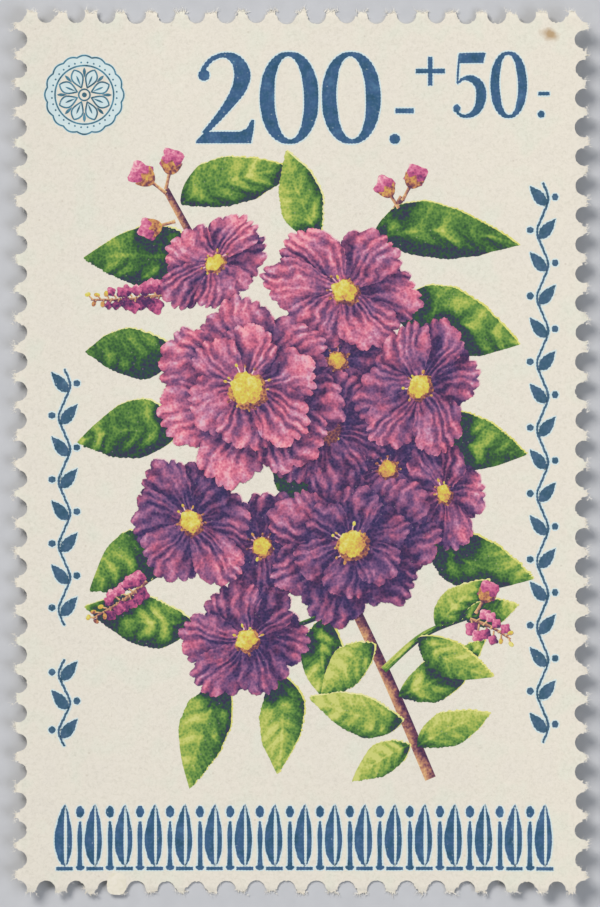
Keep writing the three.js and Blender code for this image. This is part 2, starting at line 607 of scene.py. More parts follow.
def lost_corners(spread, seed):
    """Small lumpy cuts at the corners of the teeth, longer across the line of holes than along it."""
    chance = Chance(seed)
    cuts = []
    for x, y in hole_places:
        along = np.array([1, 0]) if abs(y) == TOP else np.array([0, 1])
        for side in (-1, 1):
            size = chance.between(*LOST_CORNER)
            lumps = size * (1 + chance.spread(LOST_CORNER_LUMPS, LOST_CORNER_SIDES)) + spread
            stretch = np.where(along, LOST_CORNER_LENGTH, LOST_CORNER_DEPTH)
            rim = circle(0, 0, 1, LOST_CORNER_SIDES) * lumps[:, None] * stretch
            outward = np.array([np.sign(x), 0]) if along[1] else np.array([0, np.sign(y)])
            if chance.draw() < LOST_CORNER_CHANCE:
                cuts.append(rim + (x, y) + along * side * PIN_RADIUS + outward * TORN_MEAN)
    return cuts


holes += lost_corners(0.0, HOLE_SEED)
print("holes and lost corners:", len(holes))

# %% [markdown]
# ## The sheet of paper
#
# Stamp paper is a thin wove sheet of short plant fibres. Where it is punched its edge is clean, and where
# it is torn the fibres pull out of one another, so the tip of a tooth thins out to a soft edge.
# The film helper makes the sheet. Its upper height falls towards the tear line, and the triangles are
# finer there than in the middle of the sheet.

# %% Paper sheet
FEATHER = 0.22
THINNEST = 0.35
EDGE_BAND = 0.55
EDGE_STEP = 0.11
SHEET_STEP = 0.55
EDGE_MARGIN = 0.2
RAISED_FIBRE = 0.004


def feathered_top(x, y):
    """The printed face, thinned out towards the torn tips."""
    past = np.maximum(np.abs(x) - RIGHT, np.abs(y) - TOP) + TORN_MEAN
    share = np.clip(past / FEATHER, 0, 1)
    rough = np.sin(47 * x + 5 * np.sin(31 * y)) * np.sin(53 * y + 4 * np.sin(29 * x))
    return paper_top(x, y) - PAPER * (1 - THINNEST) * share**1.5 + RAISED_FIBRE * rough * share


def paper_under(x, y):
    """The underside of the paper, where the gum starts."""
    return curl(x, y) + GUM


grid_corner = np.array([RIGHT + EDGE_MARGIN, TOP + EDGE_MARGIN])
edge_grid = grid_points(-grid_corner, grid_corner, EDGE_STEP)
near_edge = (np.abs(edge_grid[:, 0]) > RIGHT - EDGE_BAND) | (np.abs(edge_grid[:, 1]) > TOP - EDGE_BAND)
sheet = Film("paper_sheet_torn")
sheet.add([tear_line], holes, paper_under, feathered_top, SHEET_STEP, extra=edge_grid[near_edge])
print("points on the sheet:", sheet.count)

# %% [markdown]
# ## Wove paper
#
# The sheet is uncoated wove paper: rag and wood fibre, chalked, dried on felt and not glazed. That gives
# the eye a chalky cream without gloss, clouded where the fibre is denser, with a few dark shives in it.
# Single fibres are 0.02 mm wide, too fine to show from above, so the tooth is drawn at 0.11 mm.
# One small spot near a corner was damp once and has turned brown.

# %% A damp spot
SPOT_PLACE = (13.25, 22.25)
SPOT_HALF_SIZE = (0.53, 0.35)
SPOT_TILT = -0.35
SPOT_WOBBLE = 0.25


def damp_spot(tree, place, colour):
    """A foxing spot: iron in the paper rusts in the damp and stains a small patch brown."""
    setting = {"Vector": place, "Location": (*SPOT_PLACE, 0), "Rotation": (0, 0, SPOT_TILT)}
    setting["Scale"] = (*SPOT_HALF_SIZE, 100)
    local = add_node(tree, "Mapping", setting, vector_type="TEXTURE")
    flat = add_node(tree, "VectorMath", {0: local, 1: (1, 1, 0)}, operation="MULTIPLY")
    away = add_node(tree, "VectorMath", {0: flat}, "Value", operation="LENGTH")
    wobble = add_node(tree, "TexNoise", {"Vector": place, "Scale": 1 / SPOT_WOBBLE, "Detail": 3.0})
    edge = add_node(tree, "Math", {0: wobble, 1: 0.9, 2: away}, operation="MULTIPLY_ADD")
    stain = add_node(tree, "MapRange", {"Value": edge, 1: 0.75, 2: 1.6, 3: 0.85, 4: 0.0})
    return add_node(tree, "Mix", {0: stain, 6: colour, 7: linear("#ad8e64")}, 2, data_type="RGBA")


print("damp spot, mm across:", [round(2 * half, 2) for half in SPOT_HALF_SIZE])

# %% Wove paper
PAPER_CLOUD = 1.8
FIBRE_CLUMP = 0.18
FELT_TOOTH = 0.11
SHIVE_SPACING = 1.1


def wove_paper_material():
    """Chalked rag and wood fibre, dried on felt: cream, clouded and without gloss."""
    material, tree, place = begin_material("uncoated_wove_paper")
    cloud = add_node(tree, "TexNoise", {"Vector": place, "Scale": 1 / PAPER_CLOUD, "Detail": 4.0})
    cream = [(0.32, "#e5dfd3"), (0.5, "#e6e0d3"), (0.68, "#e2e1d3")]
    cream = add_node(tree, "ValToRGB", {"Fac": cloud}, stops=cream)
    clump = {"Vector": place, "Scale": 1 / FIBRE_CLUMP, "Detail": 5.0, "Roughness": 0.7, "Distortion": 0.8}
    clump = add_node(tree, "TexNoise", clump)
    density = [(0.28, "#ececea"), (0.5, "#fafaf9"), (0.7, "#ffffff")]
    density = add_node(tree, "ValToRGB", {"Fac": clump}, stops=density)
    colour = add_node(tree, "Mix", {0: 1.0, 6: cream, 7: density}, 2, data_type="RGBA", blend_type="MULTIPLY")
    shives = add_node(tree, "TexVoronoi", {"Vector": place, "Scale": 1 / SHIVE_SPACING})
    shive = add_node(tree, "MapRange", {"Value": shives, 1: 0.03, 2: 0.075, 3: 0.28, 4: 0.0})
    colour = add_node(tree, "Mix", {0: shive, 6: colour, 7: linear("#a99b8c")}, 2, data_type="RGBA")
    colour = damp_spot(tree, place, colour)
    tooth = add_node(tree, "TexNoise", {"Vector": place, "Scale": 1 / FELT_TOOTH, "Detail": 4.0})
    height = add_node(tree, "Math", {0: tooth, 1: clump}, operation="ADD")
    finish_material(tree, colour, 0.9, 1.45, height, 0.012, POROUS)
    return material


paper_material = wove_paper_material()
paper_piece = sheet.build(paper_material, "stamp_paper")
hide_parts("paper_sheet")

# %% [markdown]
# ## Pulled fibres
#
# A torn tooth ends in a fringe of fibres, some single and some in bundles. They are what makes the edge
# of a stamp look soft. Hair particles could make them, but particles are lost when a model is exported.
# So each fibre is a little tapered tube of three sides, bent as it goes, and all are joined in one mesh.

# %% One fibre
FIBRE_SIDES = 3
FIBRE_SEGMENTS = 4
FIBRE_INSET = 0.08
FIBRE_DEPTH = (0.2, 0.7)
FIBRE_RISE = (-0.05, 0.25)
FIBRE_BEND = 1.6
FIBRE_TAPER = 0.7


def fibre_tube(x, y, heading, length, radius, chance, places, faces):
    """Adds one bent, pointed fibre that is rooted in the paper near x, y."""
    x -= FIBRE_INSET * math.cos(heading)
    y -= FIBRE_INSET * math.sin(heading)
    first = len(places)
    z = float(curl(x, y)) + GUM + PAPER * chance.between(*FIBRE_DEPTH)
    rise = chance.between(*FIBRE_RISE)
    bend = chance.between(-FIBRE_BEND, FIBRE_BEND) / FIBRE_SEGMENTS
    step = (length + FIBRE_INSET) / FIBRE_SEGMENTS
    for i in range(FIBRE_SEGMENTS):
        thick = radius * (1 - FIBRE_TAPER * i / FIBRE_SEGMENTS)
        for side in range(FIBRE_SIDES):
            turn = 2 * math.pi * side / FIBRE_SIDES
            across, up = thick * math.cos(turn), thick * math.sin(turn)
            places.append((x - across * math.sin(heading), y + across * math.cos(heading), z + up))
        x += step * math.cos(heading)
        y += step * math.sin(heading)
        z += step * rise
        heading += bend
    places.append((x, y, z))
    faces.append([first + side for side in reversed(range(FIBRE_SIDES))])
    for i in range(FIBRE_SEGMENTS - 1):
        for side in range(FIBRE_SIDES):
            a = first + i * FIBRE_SIDES + side
            b = first + i * FIBRE_SIDES + (side + 1) % FIBRE_SIDES
            faces.append([a, b, b + FIBRE_SIDES, a + FIBRE_SIDES])
    last = first + (FIBRE_SEGMENTS - 1) * FIBRE_SIDES
    for side in range(FIBRE_SIDES):
        faces.append([last + side, last + (side + 1) % FIBRE_SIDES, len(places) - 1])


print("faces of one fibre, with its blunt root:", FIBRE_SIDES * FIBRE_SEGMENTS + 1)


# %% Fibre material
def torn_fibre_material():
    """Raw cotton and wood fibre, with no chalk on it, soft like felt. It is whiter than the face: partly from
    the raw fibre, and partly as painted light that offsets the shade on such thin fibres.
    """
    material, tree, place = begin_material("raw_torn_fibre_painted_light")
    cloud = add_node(tree, "TexNoise", {"Vector": place, "Scale": 1 / FIBRE_CLUMP, "Detail": 2.0})
    # Painted light: the fibres are coloured lighter than the paper, partly to offset the shade that falls on
    # these thin tubes.
    colour = add_node(tree, "ValToRGB", {"Fac": cloud}, stops=[(0.35, "#ebe6dc"), (0.65, "#f5f2ea")])
    finish_material(tree, colour, 0.95, 1.45, cloud, 0.004, POROUS)
    return material


fibre_material = torn_fibre_material()
print("material:", fibre_material.name)

# %% Tufts along the tear
TEAR_POINTS_TO_A_TUFT = 3
FIBRE_TRIES = 8
FIBRE_CHANCE = 0.55
CLEAR_OF_HOLE = 0.98
TUFT_SPREAD = 1.2
SHORT_FIBRE = 0.05
LONG_FIBRE = 0.31
THIN_FIBRE = 0.006
THICK_FIBRE = 0.018
FIBRE_SEED = 77
fibre_chance = Chance(FIBRE_SEED)
fibre_places, fibre_faces = [], []
fibre_store = (fibre_chance, fibre_places, fibre_faces)
# Most fibres are short and thin, so a power pulls the draws towards their low end.
for x, y in tear_line[::TEAR_POINTS_TO_A_TUFT]:
    past = max(abs(x) - RIGHT, abs(y) - TOP)
    clear = min(math.hypot(x - px, y - py) for px, py in hole_places)
    if clear < PIN_RADIUS * CLEAR_OF_HOLE or past < 0:
        continue
    outward = math.atan2(0, x) if abs(x) > RIGHT else math.atan2(y, 0)
    for _ in range(FIBRE_TRIES):
        if fibre_chance.draw() < FIBRE_CHANCE:
            heading = outward + fibre_chance.between(-TUFT_SPREAD, TUFT_SPREAD)
            length = SHORT_FIBRE + (LONG_FIBRE - SHORT_FIBRE) * fibre_chance.draw() ** 2.2
            radius = THIN_FIBRE + (THICK_FIBRE - THIN_FIBRE) * fibre_chance.draw() ** 2
            fibre_tube(x, y, heading, length, radius, *fibre_store)
print("corners of the fibres along the tear:", len(fibre_places))

# %% Fibres in the holes and a wisp
HOLE_FIBRES = 3
HOLE_FIBRE_LENGTH = (0.05, 0.3)
HOLE_FIBRE_RADIUS = 0.009
HOLE_FIBRE_SPREAD = 0.9
WISP_PLACE = np.array([-11.45, -23.2])
WISP_REACH = 0.07
WISP_FIBRES = 26
WISP_FIBRE_LENGTH = (0.1, 0.26)
WISP_FIBRE_RADIUS = (0.01, 0.02)
WISP_SPREAD = 1.3
for px, py in hole_places:
    for _ in range(HOLE_FIBRES):
        turn = fibre_chance.between(0, 2 * math.pi)
        x, y = px + PIN_RADIUS * math.cos(turn), py + PIN_RADIUS * math.sin(turn)
        if abs(x) < RIGHT and abs(y) < TOP:
            heading = turn + math.pi + fibre_chance.between(-HOLE_FIBRE_SPREAD, HOLE_FIBRE_SPREAD)
            length = fibre_chance.between(*HOLE_FIBRE_LENGTH)
            fibre_tube(x, y, heading, length, HOLE_FIBRE_RADIUS, *fibre_store)
for _ in range(WISP_FIBRES):
    x, y = WISP_PLACE + fibre_chance.spread(WISP_REACH, 2)
    heading = math.pi + fibre_chance.between(-WISP_SPREAD, WISP_SPREAD)
    length = fibre_chance.between(*WISP_FIBRE_LENGTH)
    radius = fibre_chance.between(*WISP_FIBRE_RADIUS)
    fibre_tube(x, y, heading, length, radius, *fibre_store)
fibre_mesh = bpy.data.meshes.new("torn_fibres")
fibre_mesh.from_pydata((np.array(fibre_places) * MM).tolist(), [], fibre_faces)
fibre_mesh.materials.append(fibre_material)
place_piece("torn_fibres", fibre_mesh)

# %% [markdown]
# ## A hanging chad
#
# Now and then a pin doesn't cut clean through, and the little disc of paper stays on as a flap.
# Here one flap is folded up over the edge at the foot, so it shows its gummed side: warmer than the paper.
# It is a film of its own with a lumpy round outline, laid just above the sheet.

# %% Hanging chad
CHAD_PLACE = (-9.82, -23.02)
CHAD_HALF_SIZE = (0.52, 0.58)
CHAD_LIFT = 0.004
CHAD_THICKNESS = 0.012
CHAD_SIDES = 36
CHAD_LUMPS = 0.04
CHAD_SQUARENESS = 2.8
CHAD_GRID = 0.12
CHAD_SEED = 23
CHAD_CREASE = 5 / 11


def chad_low(x, y):
    """The flap lies just above the sheet."""
    return paper_top(x, y) + CHAD_LIFT


def chad_high(x, y):
    """The upper side of the flap."""
    return chad_low(x, y) + CHAD_THICKNESS


def chad_paper_material():
    """Gummed paper seen from the back: smoother and yellower than the face, with a pressed crease."""
    material, tree, place = begin_material("gummed_paper_chad")
    crease = {"Vector": place, "Scale": 1 / CHAD_CREASE, "Detail": 2.0, "Distortion": 1.0}
    crease = add_node(tree, "TexNoise", crease)
    colour = add_node(tree, "ValToRGB", {"Fac": crease}, stops=[(0.36, "#dfd9c6"), (0.6, "#e7e1d2")])
    finish_material(tree, colour, 0.6, 1.47, crease, 0.03, POROUS)
    return material


chad_lumps = 1 + Chance(CHAD_SEED).spread(CHAD_LUMPS, CHAD_SIDES)
chad_oval = oval(0, 0, *CHAD_HALF_SIZE, 0, CHAD_SIDES, CHAD_SQUARENESS)
chad = Film("hanging_chad")
chad.add([chad_oval * chad_lumps[:, None] + CHAD_PLACE], [], chad_low, chad_high, CHAD_GRID)
chad.build(chad_paper_material(), "stamp_paper")

# %% [markdown]
# ## The gummed back
#
# The gum is brushed on wet and dries to a thin, faintly yellow skin. It shrinks more than the paper, so it
# is crazed with fine cracks, and it shines where the paper is dull. It stays a hair short of the torn edge.

# %% Gum film
GUM_INSET = 0.03
GUM_DRIFT = 10 / 3
GUM_CELL = 1.25
CRACK_SHARE = 0.03


def dried_gum_material():
    """Brushed gum, air-dried: glossy like a thin varnish between its cracks, and the colour of straw."""
    material, tree, place = begin_material("dried_straw_gum")
    drift = {"Vector": place, "Scale": 1 / GUM_DRIFT, "Detail": 3.0}
    pull = add_node(tree, "TexNoise", drift, "Color")
    thickness = add_node(tree, "TexNoise", drift)
    pulled = add_node(tree, "VectorMath", {0: place, 1: pull}, operation="ADD")
    cells = {"Vector": pulled, "Scale": 1 / GUM_CELL}
    cells = add_node(tree, "TexVoronoi", cells, feature="DISTANCE_TO_EDGE")
    skin = add_node(tree, "MapRange", {"Value": cells, 1: 0.0, 2: CRACK_SHARE})
    tint = add_node(tree, "ValToRGB", {"Fac": thickness}, stops=[(0.3, "#dfd6bb"), (0.7, "#e8e1cb")])
    colour = add_node(tree, "Mix", {0: skin, 6: linear("#cfc3a0"), 7: tint}, 2, data_type="RGBA")
    rough = add_node(tree, "MapRange", {"Value": thickness, 1: 0.3, 2: 0.7, 3: 0.3, 4: 0.45})
    finish_material(tree, colour, rough, 1.48, skin, 0.006)
    return material


gum = Film("gum_film_cracked")
gum_edge = tear_line * (1 - GUM_INSET / RIGHT, 1 - GUM_INSET / TOP)
gum_cuts = punched_holes(PIN_RADIUS + GUM_INSET, HOLE_SEED) + lost_corners(GUM_INSET, HOLE_SEED)
gum.add([gum_edge], gum_cuts, curl, paper_under, SHEET_STEP)
gum_piece = gum.build(dried_gum_material(), "dried_gum")
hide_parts("gum_film")

# %% [markdown]
# ## Ink as a film
#
# Gravure printing lifts ink out of tiny engraved cells, so each solid patch of ink is a film a few
# thousandths of a millimetre thick, and its edge is finely serrated by the rows of cells.
# The cells of a fine stamp stand 0.12 mm apart. Here every edge is walked in short steps and pushed in
# and out by a pattern with a pitch of 0.17 mm, a little coarser than life so that it can be seen.

# %% Levels of ink
INK_BASE = 0.003
INK_STEP = 0.0016
INK_THICKNESS = 0.0013
INK_GRID = 0.5


def lay_ink(film, level, adds, cuts=(), step=INK_GRID, paint=None):
    """Adds a patch of ink to a film. Each level lies one step higher on the curled sheet."""

    def low(x, y):
        return paper_top(x, y) + INK_BASE + level * INK_STEP

    def high(x, y):
        return low(x, y) + INK_THICKNESS

    film.add(adds, cuts, low, high, step, paint)


print("second film of ink, mm above the paper:", round(INK_BASE + 2 * INK_STEP, 4))

# %% Edges of ink
CELL_PITCH = 0.17
CELL_BITE = 0.024
WANDER_SHARE = 0.3
EDGE_WALK = 0.045
FEWEST_STEPS = 8


def unit(rows):
    """The same arrows, each with a length of 1."""
    return rows / np.maximum(np.linalg.norm(rows, axis=1), SHORTEST)[:, None]


def walked(ring, step):
    """The same outline with points at even steps."""
    ring = ring_of(ring)
    closed = np.vstack([ring, ring[:1]])
    lengths = np.concatenate([[0], np.cumsum(np.linalg.norm(np.diff(closed, axis=0), axis=1))])
    count = max(FEWEST_STEPS, round(lengths[-1] / step))
    at = np.linspace(0, lengths[-1], count, endpoint=False)
    return np.column_stack([np.interp(at, lengths, closed[:, axis]) for axis in (0, 1)])


def pushed(ring, amount):
    """An outline moved outwards by an amount, which may differ from point to point."""
    along = np.roll(ring, -1, axis=0) - np.roll(ring, 1, axis=0)
    outward = unit(np.column_stack([along[:, 1], -along[:, 0]]))
    return ring + outward * np.broadcast_to(amount, len(ring))[:, None]


def gravure_edge(ring):
    """An outline serrated by the engraved cells, which also wanders a little from the drawn line."""
    ring = walked(ring, EDGE_WALK)
    turn = math.pi / CELL_PITCH
    x, y = ring[:, 0], ring[:, 1]
    cells = np.cos(turn * (x + y)) * np.cos(turn * (x - y))
    wander = np.sin(3.1 * x + 1.7 * y) * np.sin(2.3 * y - 1.9 * x)
    return pushed(ring, CELL_BITE * (cells + WANDER_SHARE * wander))


print("points on the serrated edge of a square:", len(gravure_edge(square)))


# %% Drawn strokes
def spline(points, per_span=10, closed=False):
    """A smooth curve through the points, in a few steps for each span between two of them."""
    points = np.asarray(points, float)
    count = len(points)
    rows = []
    for i in range(count if closed else count - 1):
        picks = [(i + k) % count if closed else min(max(i + k, 0), count - 1) for k in (-1, 0, 1, 2)]
        a, b, c, d = points[picks]
        for t in np.arange(per_span) / per_span:
            curve = 2 * b + (c - a) * t + (2 * a - 5 * b + 4 * c - d) * t**2 + (3 * b - a - 3 * c + d) * t**3
            rows.append(curve / 2)
    if not closed:
        rows.append(points[-1])
    return np.array(rows)


def pen_stroke(points, per_span=10):
    """The outline of a stroke. Each point is x, y and half the pen's width there."""
    path = spline(points, per_span)
    along = unit(np.gradient(path[:, :2], axis=0))
    side = np.column_stack([-along[:, 1], along[:, 0]]) * path[:, 2:3]
    return ring_of(np.vstack([path[:, :2] + side, (path[:, :2] - side)[::-1]]))


print("points on a short stroke:", len(pen_stroke([(0, 0, 0.1), (1, 0, 0.1)])))

# %% [markdown]
# ## Blue ink
#
# The blue is an opaque pigment ground in oil and laid by gravure. It dries into the paper, so it looks
# almost matt, and it is mottled from teal to violet blue where two passes of it lie unevenly.
# A single cell prints a dot of 0.12 mm. The grain is drawn a little coarser, at 0.14 mm, so that it
# shows, and here and there a missed cell leaves a pale speck. Fine lines and the rosette carry less ink.

# %% Blue inks
INK_CLOUD = 0.62
CELL_GRAIN = 0.14
MISSED_CELL_SPACING = 0.4


def single_ink_material(name, mottle, grain_share):
    """One opaque ink, dried into the paper: almost matt, mottled, grained, with missed cells."""
    material, tree, place = begin_material(name)
    cloud = {"Vector": place, "Scale": 1 / INK_CLOUD, "Detail": 4.0, "Roughness": 0.62}
    cloud = add_node(tree, "TexNoise", cloud)
    base = add_node(tree, "ValToRGB", {"Fac": cloud}, stops=mottle)
    grain = add_node(tree, "TexNoise", {"Vector": place, "Scale": 1 / CELL_GRAIN, "Detail": 2.0})
    share = add_node(tree, "MapRange", {"Value": grain, 1: 0.5, 2: 0.72, 3: 0.0, 4: grain_share})
    colour = add_node(tree, "Mix", {0: share, 6: base, 7: linear("#84a3b8")}, 2, data_type="RGBA")
    cells = add_node(tree, "TexVoronoi", {"Vector": place, "Scale": 1 / MISSED_CELL_SPACING})
    missed = add_node(tree, "MapRange", {"Value": cells, 1: 0.05, 2: 0.11, 3: 0.4, 4: 0.0})
    colour = add_node(tree, "Mix", {0: missed, 6: colour, 7: linear("#cfdadb")}, 2, data_type="RGBA")
    finish_material(tree, colour, 0.62, 1.5, grain, 0.004, POROUS)
    return material


blue_mottle = [(0.32, "#254e69"), (0.46, "#2f587a"), (0.56, "#385a81"), (0.7, "#456e90")]
blue_ink = single_ink_material("blue_gravure_ink", blue_mottle, 0.16)
line_mottle = [(0.32, "#2b4f65"), (0.46, "#365a73"), (0.56, "#3f5d79"), (0.7, "#4d7087")]
line_ink = single_ink_material("fine_line_gravure_ink", line_mottle, 0.16)
teal_ink = single_ink_material("teal_gravure_ink", [(0.36, "#305869"), (0.66, "#5089a0")], 0.2)
halo_ink = single_ink_material("pale_blue_gravure_ink", [(0.36, "#c6dade"), (0.66, "#d2e1e0")], 0.0)
print("inks:", blue_ink.name, line_ink.name, teal_ink.name, halo_ink.name)

# %% Printing in blue
HALO = 0.065
HALO_WALK = 2 * EDGE_WALK
HALO_CLEARANCE = 0.6 * HALO
halo_plate = Film("pale_blue_plate")


def print_blue(film, adds, cuts=()):
    """Prints a blue shape, with the pale plate that shows as a thin halo round it. The halo narrows the
    openings too, but one that is too narrow for that is filled with the pale ink."""
    lay_ink(film, 1, [gravure_edge(ring) for ring in adds], [gravure_edge(ring) for ring in cuts])
    halo_cuts = []
    for ring in cuts:
        inner = pushed(walked(ring, HALO_WALK), -HALO)
        if np.min(nearest_edge(ring_of(ring), inner)[0]) > HALO_CLEARANCE:
            halo_cuts.append(inner)
    lay_ink(halo_plate, 0, [pushed(walked(ring, HALO_WALK), HALO) for ring in adds], halo_cuts)


print("width of the halo, mm:", HALO)

# %% [markdown]
# ## Plain numerals
#
# The face value is set in plain numerals with thick and thin strokes. Blender's own font has no such
# contrast, so each numeral is drawn as a broad pen would draw it: a centre line, and a width at each
# point of it. Where strokes cross, the film helper joins them. Sizes are in millimetres at full height.
# Each function below gives a numeral's outlines, its openings and the width that it takes up.

# %% Shapes of the numerals
BALL = (0.31, 28)


def figure_zero():
    """A zero: a squared oval with a narrow, slightly leaning opening."""
    outer = oval(1.62, 2.41, 1.6, 2.46)
    counter = oval(1.62, 2.41, 0.8, 2.2, 0.03)
    return [outer], [counter], 3.24


def figure_two():
    """A two: a ball, a hook that swells into the spine, and a flat foot with a raised end."""
    hook = [(0.3, 3.52, 0.16), (0.42, 3.98, 0.13), (0.9, 4.5, 0.12), (1.6, 4.68, 0.15), (2.2, 4.38, 0.31)]
    spine = [(2.5, 3.7, 0.43), (2.36, 3.0, 0.4), (1.95, 2.3, 0.3), (1.25, 1.42, 0.2), (0.42, 0.5, 0.14)]
    foot = [(0.0, 0.0), (3.0, 0.0), (3.17, 1.2), (3.0, 1.24)]
    foot += [(2.74, 0.76), (2.4, 0.62), (0.5, 0.62), (0.0, 0.12)]
    return [pen_stroke(hook + spine), foot, circle(0.42, 3.62, *BALL)], [], 3.3


def figure_five():
    """A five: a flag, a thin stem, and a bowl that ends in a ball."""
    flag = [(0.72, 4.02), (2.78, 4.02), (2.98, 4.72), (2.8, 4.78), (0.62, 4.72)]
    stem = [(0.68, 4.66, 0.09), (0.6, 3.6, 0.085), (0.52, 2.5, 0.1)]
    bowl = [(0.5, 2.5, 0.09), (1.05, 2.86, 0.13), (1.9, 2.8, 0.28), (2.5, 2.2, 0.41), (2.55, 1.3, 0.42)]
    tail = [(2.15, 0.5, 0.3), (1.4, 0.12, 0.15), (0.75, 0.2, 0.11), (0.4, 0.6, 0.13)]
    return [pen_stroke(bowl + tail), pen_stroke(stem), flag, circle(0.46, 0.66, *BALL)], [], 3.2


print("widths of two, zero and five, mm:", figure_two()[2], figure_zero()[2], figure_five()[2])

# %% Setting numerals
numerals = Film("blue_numerals")


def set_figures(figures, start, stretch, gap):
    """Sets figures side by side from a start on the baseline."""
    x, y = start
    for figure in figures:
        *outlines, width = figure()
        outlines = [[np.asarray(ring) * stretch + (x, y) for ring in rings] for rings in outlines]
        print_blue(numerals, *outlines)
        x += width * stretch[0] + gap


def bar(x, y, half_width, half_height):
    """A rectangle round its middle."""
    return [(x - half_width, y - half_height), (x + half_width, y - half_height),
            (x + half_width, y + half_height), (x - half_width, y + half_height)]


def stop_and_dash(stop, radius, dash, half_width, half_height):
    """The stop and the short dash that stand for no smaller coins."""
    print_blue(numerals, [oval(*stop, radius, radius)])
    print_blue(numerals, [bar(*dash, half_width, half_height)])


print("corners of a bar:", len(bar(0, 0, 1, 1)))

# %% The line of numerals
FIGURES_START = (-5.58, 16.47)
FIGURES_STRETCH = (0.98, 1.0)
FIGURES_GAP = 0.13
SMALL_START = (8.02, 17.82)
SMALL_STRETCH = (0.61, 0.725)
SMALL_GAP = 0.1
PLUS_PLACE = (6.89, 20.3)
PLUS_ARM = 0.76
PLUS_HALF = 0.12
set_figures([figure_two, figure_zero, figure_zero], FIGURES_START, FIGURES_STRETCH, FIGURES_GAP)
stop_and_dash((5.0, 16.69), 0.27, (5.52, 18.19), 0.5, 0.13)
print_blue(numerals, [bar(*PLUS_PLACE, PLUS_ARM, PLUS_HALF), bar(*PLUS_PLACE, PLUS_HALF, PLUS_ARM)])
set_figures([figure_five, figure_zero], SMALL_START, SMALL_STRETCH, SMALL_GAP)
stop_and_dash((12.79, 17.99), 0.19, (12.93, 19.08), 0.3, 0.1)
numerals.build(blue_ink, "stamp_paper")

# %% [markdown]
# ## A small rosette
#
# A round mark in fine line work stands in the upper left corner. It is a plain eight-petalled rosette in
# a scalloped ring, such as an engraver draws with compasses. Its lines are under 0.1 mm wide, in a teal
# that is lighter than the numerals' blue, and the pale plate lies under the ring as a tint.
# Petals and leaves, here and later, are blades: outlines with an upper and a lower side along a line.

# %% Parts of a rosette
ROSETTE_PLACE = np.array([-11.54, 19.03])
ROSETTE_RADIUS = 2.0
ROSETTE_PETALS = 8
HAIRLINE = 0.042
ROSETTE_LEVEL = 2
rosette = Film("teal_rosette")


def toward(heading):
    """An arrow with a length of 1, for a heading in radians."""
    return np.array([math.cos(heading), math.sin(heading)])


def turned(points, heading):
    """Points turned about the origin."""
    c, s = toward(heading)
    return points @ np.array([[c, s], [-s, c]])


def blade(along, upper, lower):
    """An outline with two sides over one line, as a leaf has. It ends where the sides meet."""
    there = np.column_stack([along, upper])
    back = np.column_stack([along, lower])[::-1]
    return np.vstack([there, back[1:-1]])


def scalloped(radius, scallops, depth, sides=192):
    """A ring of shallow scallops round the middle of the rosette."""
    turn = even_turns(sides)
    reach = radius + depth * np.abs(np.cos(turn * scallops / 2))
    return ring_of(np.column_stack([reach * np.cos(turn), reach * np.sin(turn)]) + ROSETTE_PLACE)


def rosette_petal(heading, start, end, half_width):
    """A pointed oval that stands out from the middle of the rosette."""
    share = np.linspace(0, 1, 20)
    across = half_width * np.sin(math.pi * share**1.3) ** 0.8
    petal = blade(start + (end - start) * share, across, -across)
    return ring_of(turned(petal, heading) + ROSETTE_PLACE)


def print_solid(ring):
    """Prints a filled shape of the rosette."""
    lay_ink(rosette, ROSETTE_LEVEL, [ring])


def print_hairline(ring):
    """Prints a closed fine line along an outline."""
    lay_ink(rosette, ROSETTE_LEVEL, [pushed(ring, HAIRLINE)], [pushed(ring, -HAIRLINE)])


print("rosette across, mm:", 2 * ROSETTE_RADIUS)

# %% Rosette
SCALLOPS = 16
SCALLOP_DEPTH = 0.1
RING_WIDTH = 0.44
RING_TINT_SPREAD = 0.08
PETAL_TINT_SPREAD = 0.03
BEADS = 32
BEAD_RING = 1.73
BEAD = (0.05, 12)
INNER_CIRCLE_SIDES = 96
PETAL = (0.4, 1.42, 0.3)
PETAL_LINE = (0.5, 1.1, 0.05)
WEDGE = (0.92, 1.45, 0.08)
EYE_RING = (0.3, 40)
EYE = (0.13, 20)
outer_scallop = scalloped(ROSETTE_RADIUS, SCALLOPS, SCALLOP_DEPTH)
inner_circle = circle(*ROSETTE_PLACE, ROSETTE_RADIUS - RING_WIDTH, INNER_CIRCLE_SIDES)
lay_ink(halo_plate, 0, [pushed(outer_scallop, RING_TINT_SPREAD)], [pushed(inner_circle, -RING_TINT_SPREAD)])
print_hairline(outer_scallop)
print_hairline(inner_circle)
for i in range(BEADS):
    turn = 2 * math.pi * (i + 0.5) / BEADS
    print_solid(circle(*(ROSETTE_PLACE + BEAD_RING * toward(turn)), *BEAD))
# Petals and wedges are given by where they start and end from the middle, and by half their width.
for i in range(ROSETTE_PETALS):
    heading = 2 * math.pi * (i + 0.5) / ROSETTE_PETALS
    petal = rosette_petal(heading, *PETAL)
    lay_ink(halo_plate, 0, [pushed(petal, PETAL_TINT_SPREAD)])
    print_hairline(petal)
    print_solid(rosette_petal(heading, *PETAL_LINE))
    print_solid(rosette_petal(heading + math.pi / ROSETTE_PETALS, *WEDGE))
print_hairline(circle(*ROSETTE_PLACE, *EYE_RING))
print_solid(circle(*ROSETTE_PLACE, *EYE))
rosette.build(teal_ink, "stamp_paper")

# %% [markdown]
# ## Borders of leaves and beads
#
# Two kinds of border frame the picture: a row of upright laurel leaves along the foot in the blue of the
# numerals, and a running vine up each side in the paler ink of fine lines. Both are old printer's
# ornaments and need no drawing beyond one unit, which a loop repeats. Each upright leaf is split by a
# light midrib, thick on its left and thin on its right, like the strokes of the numerals.

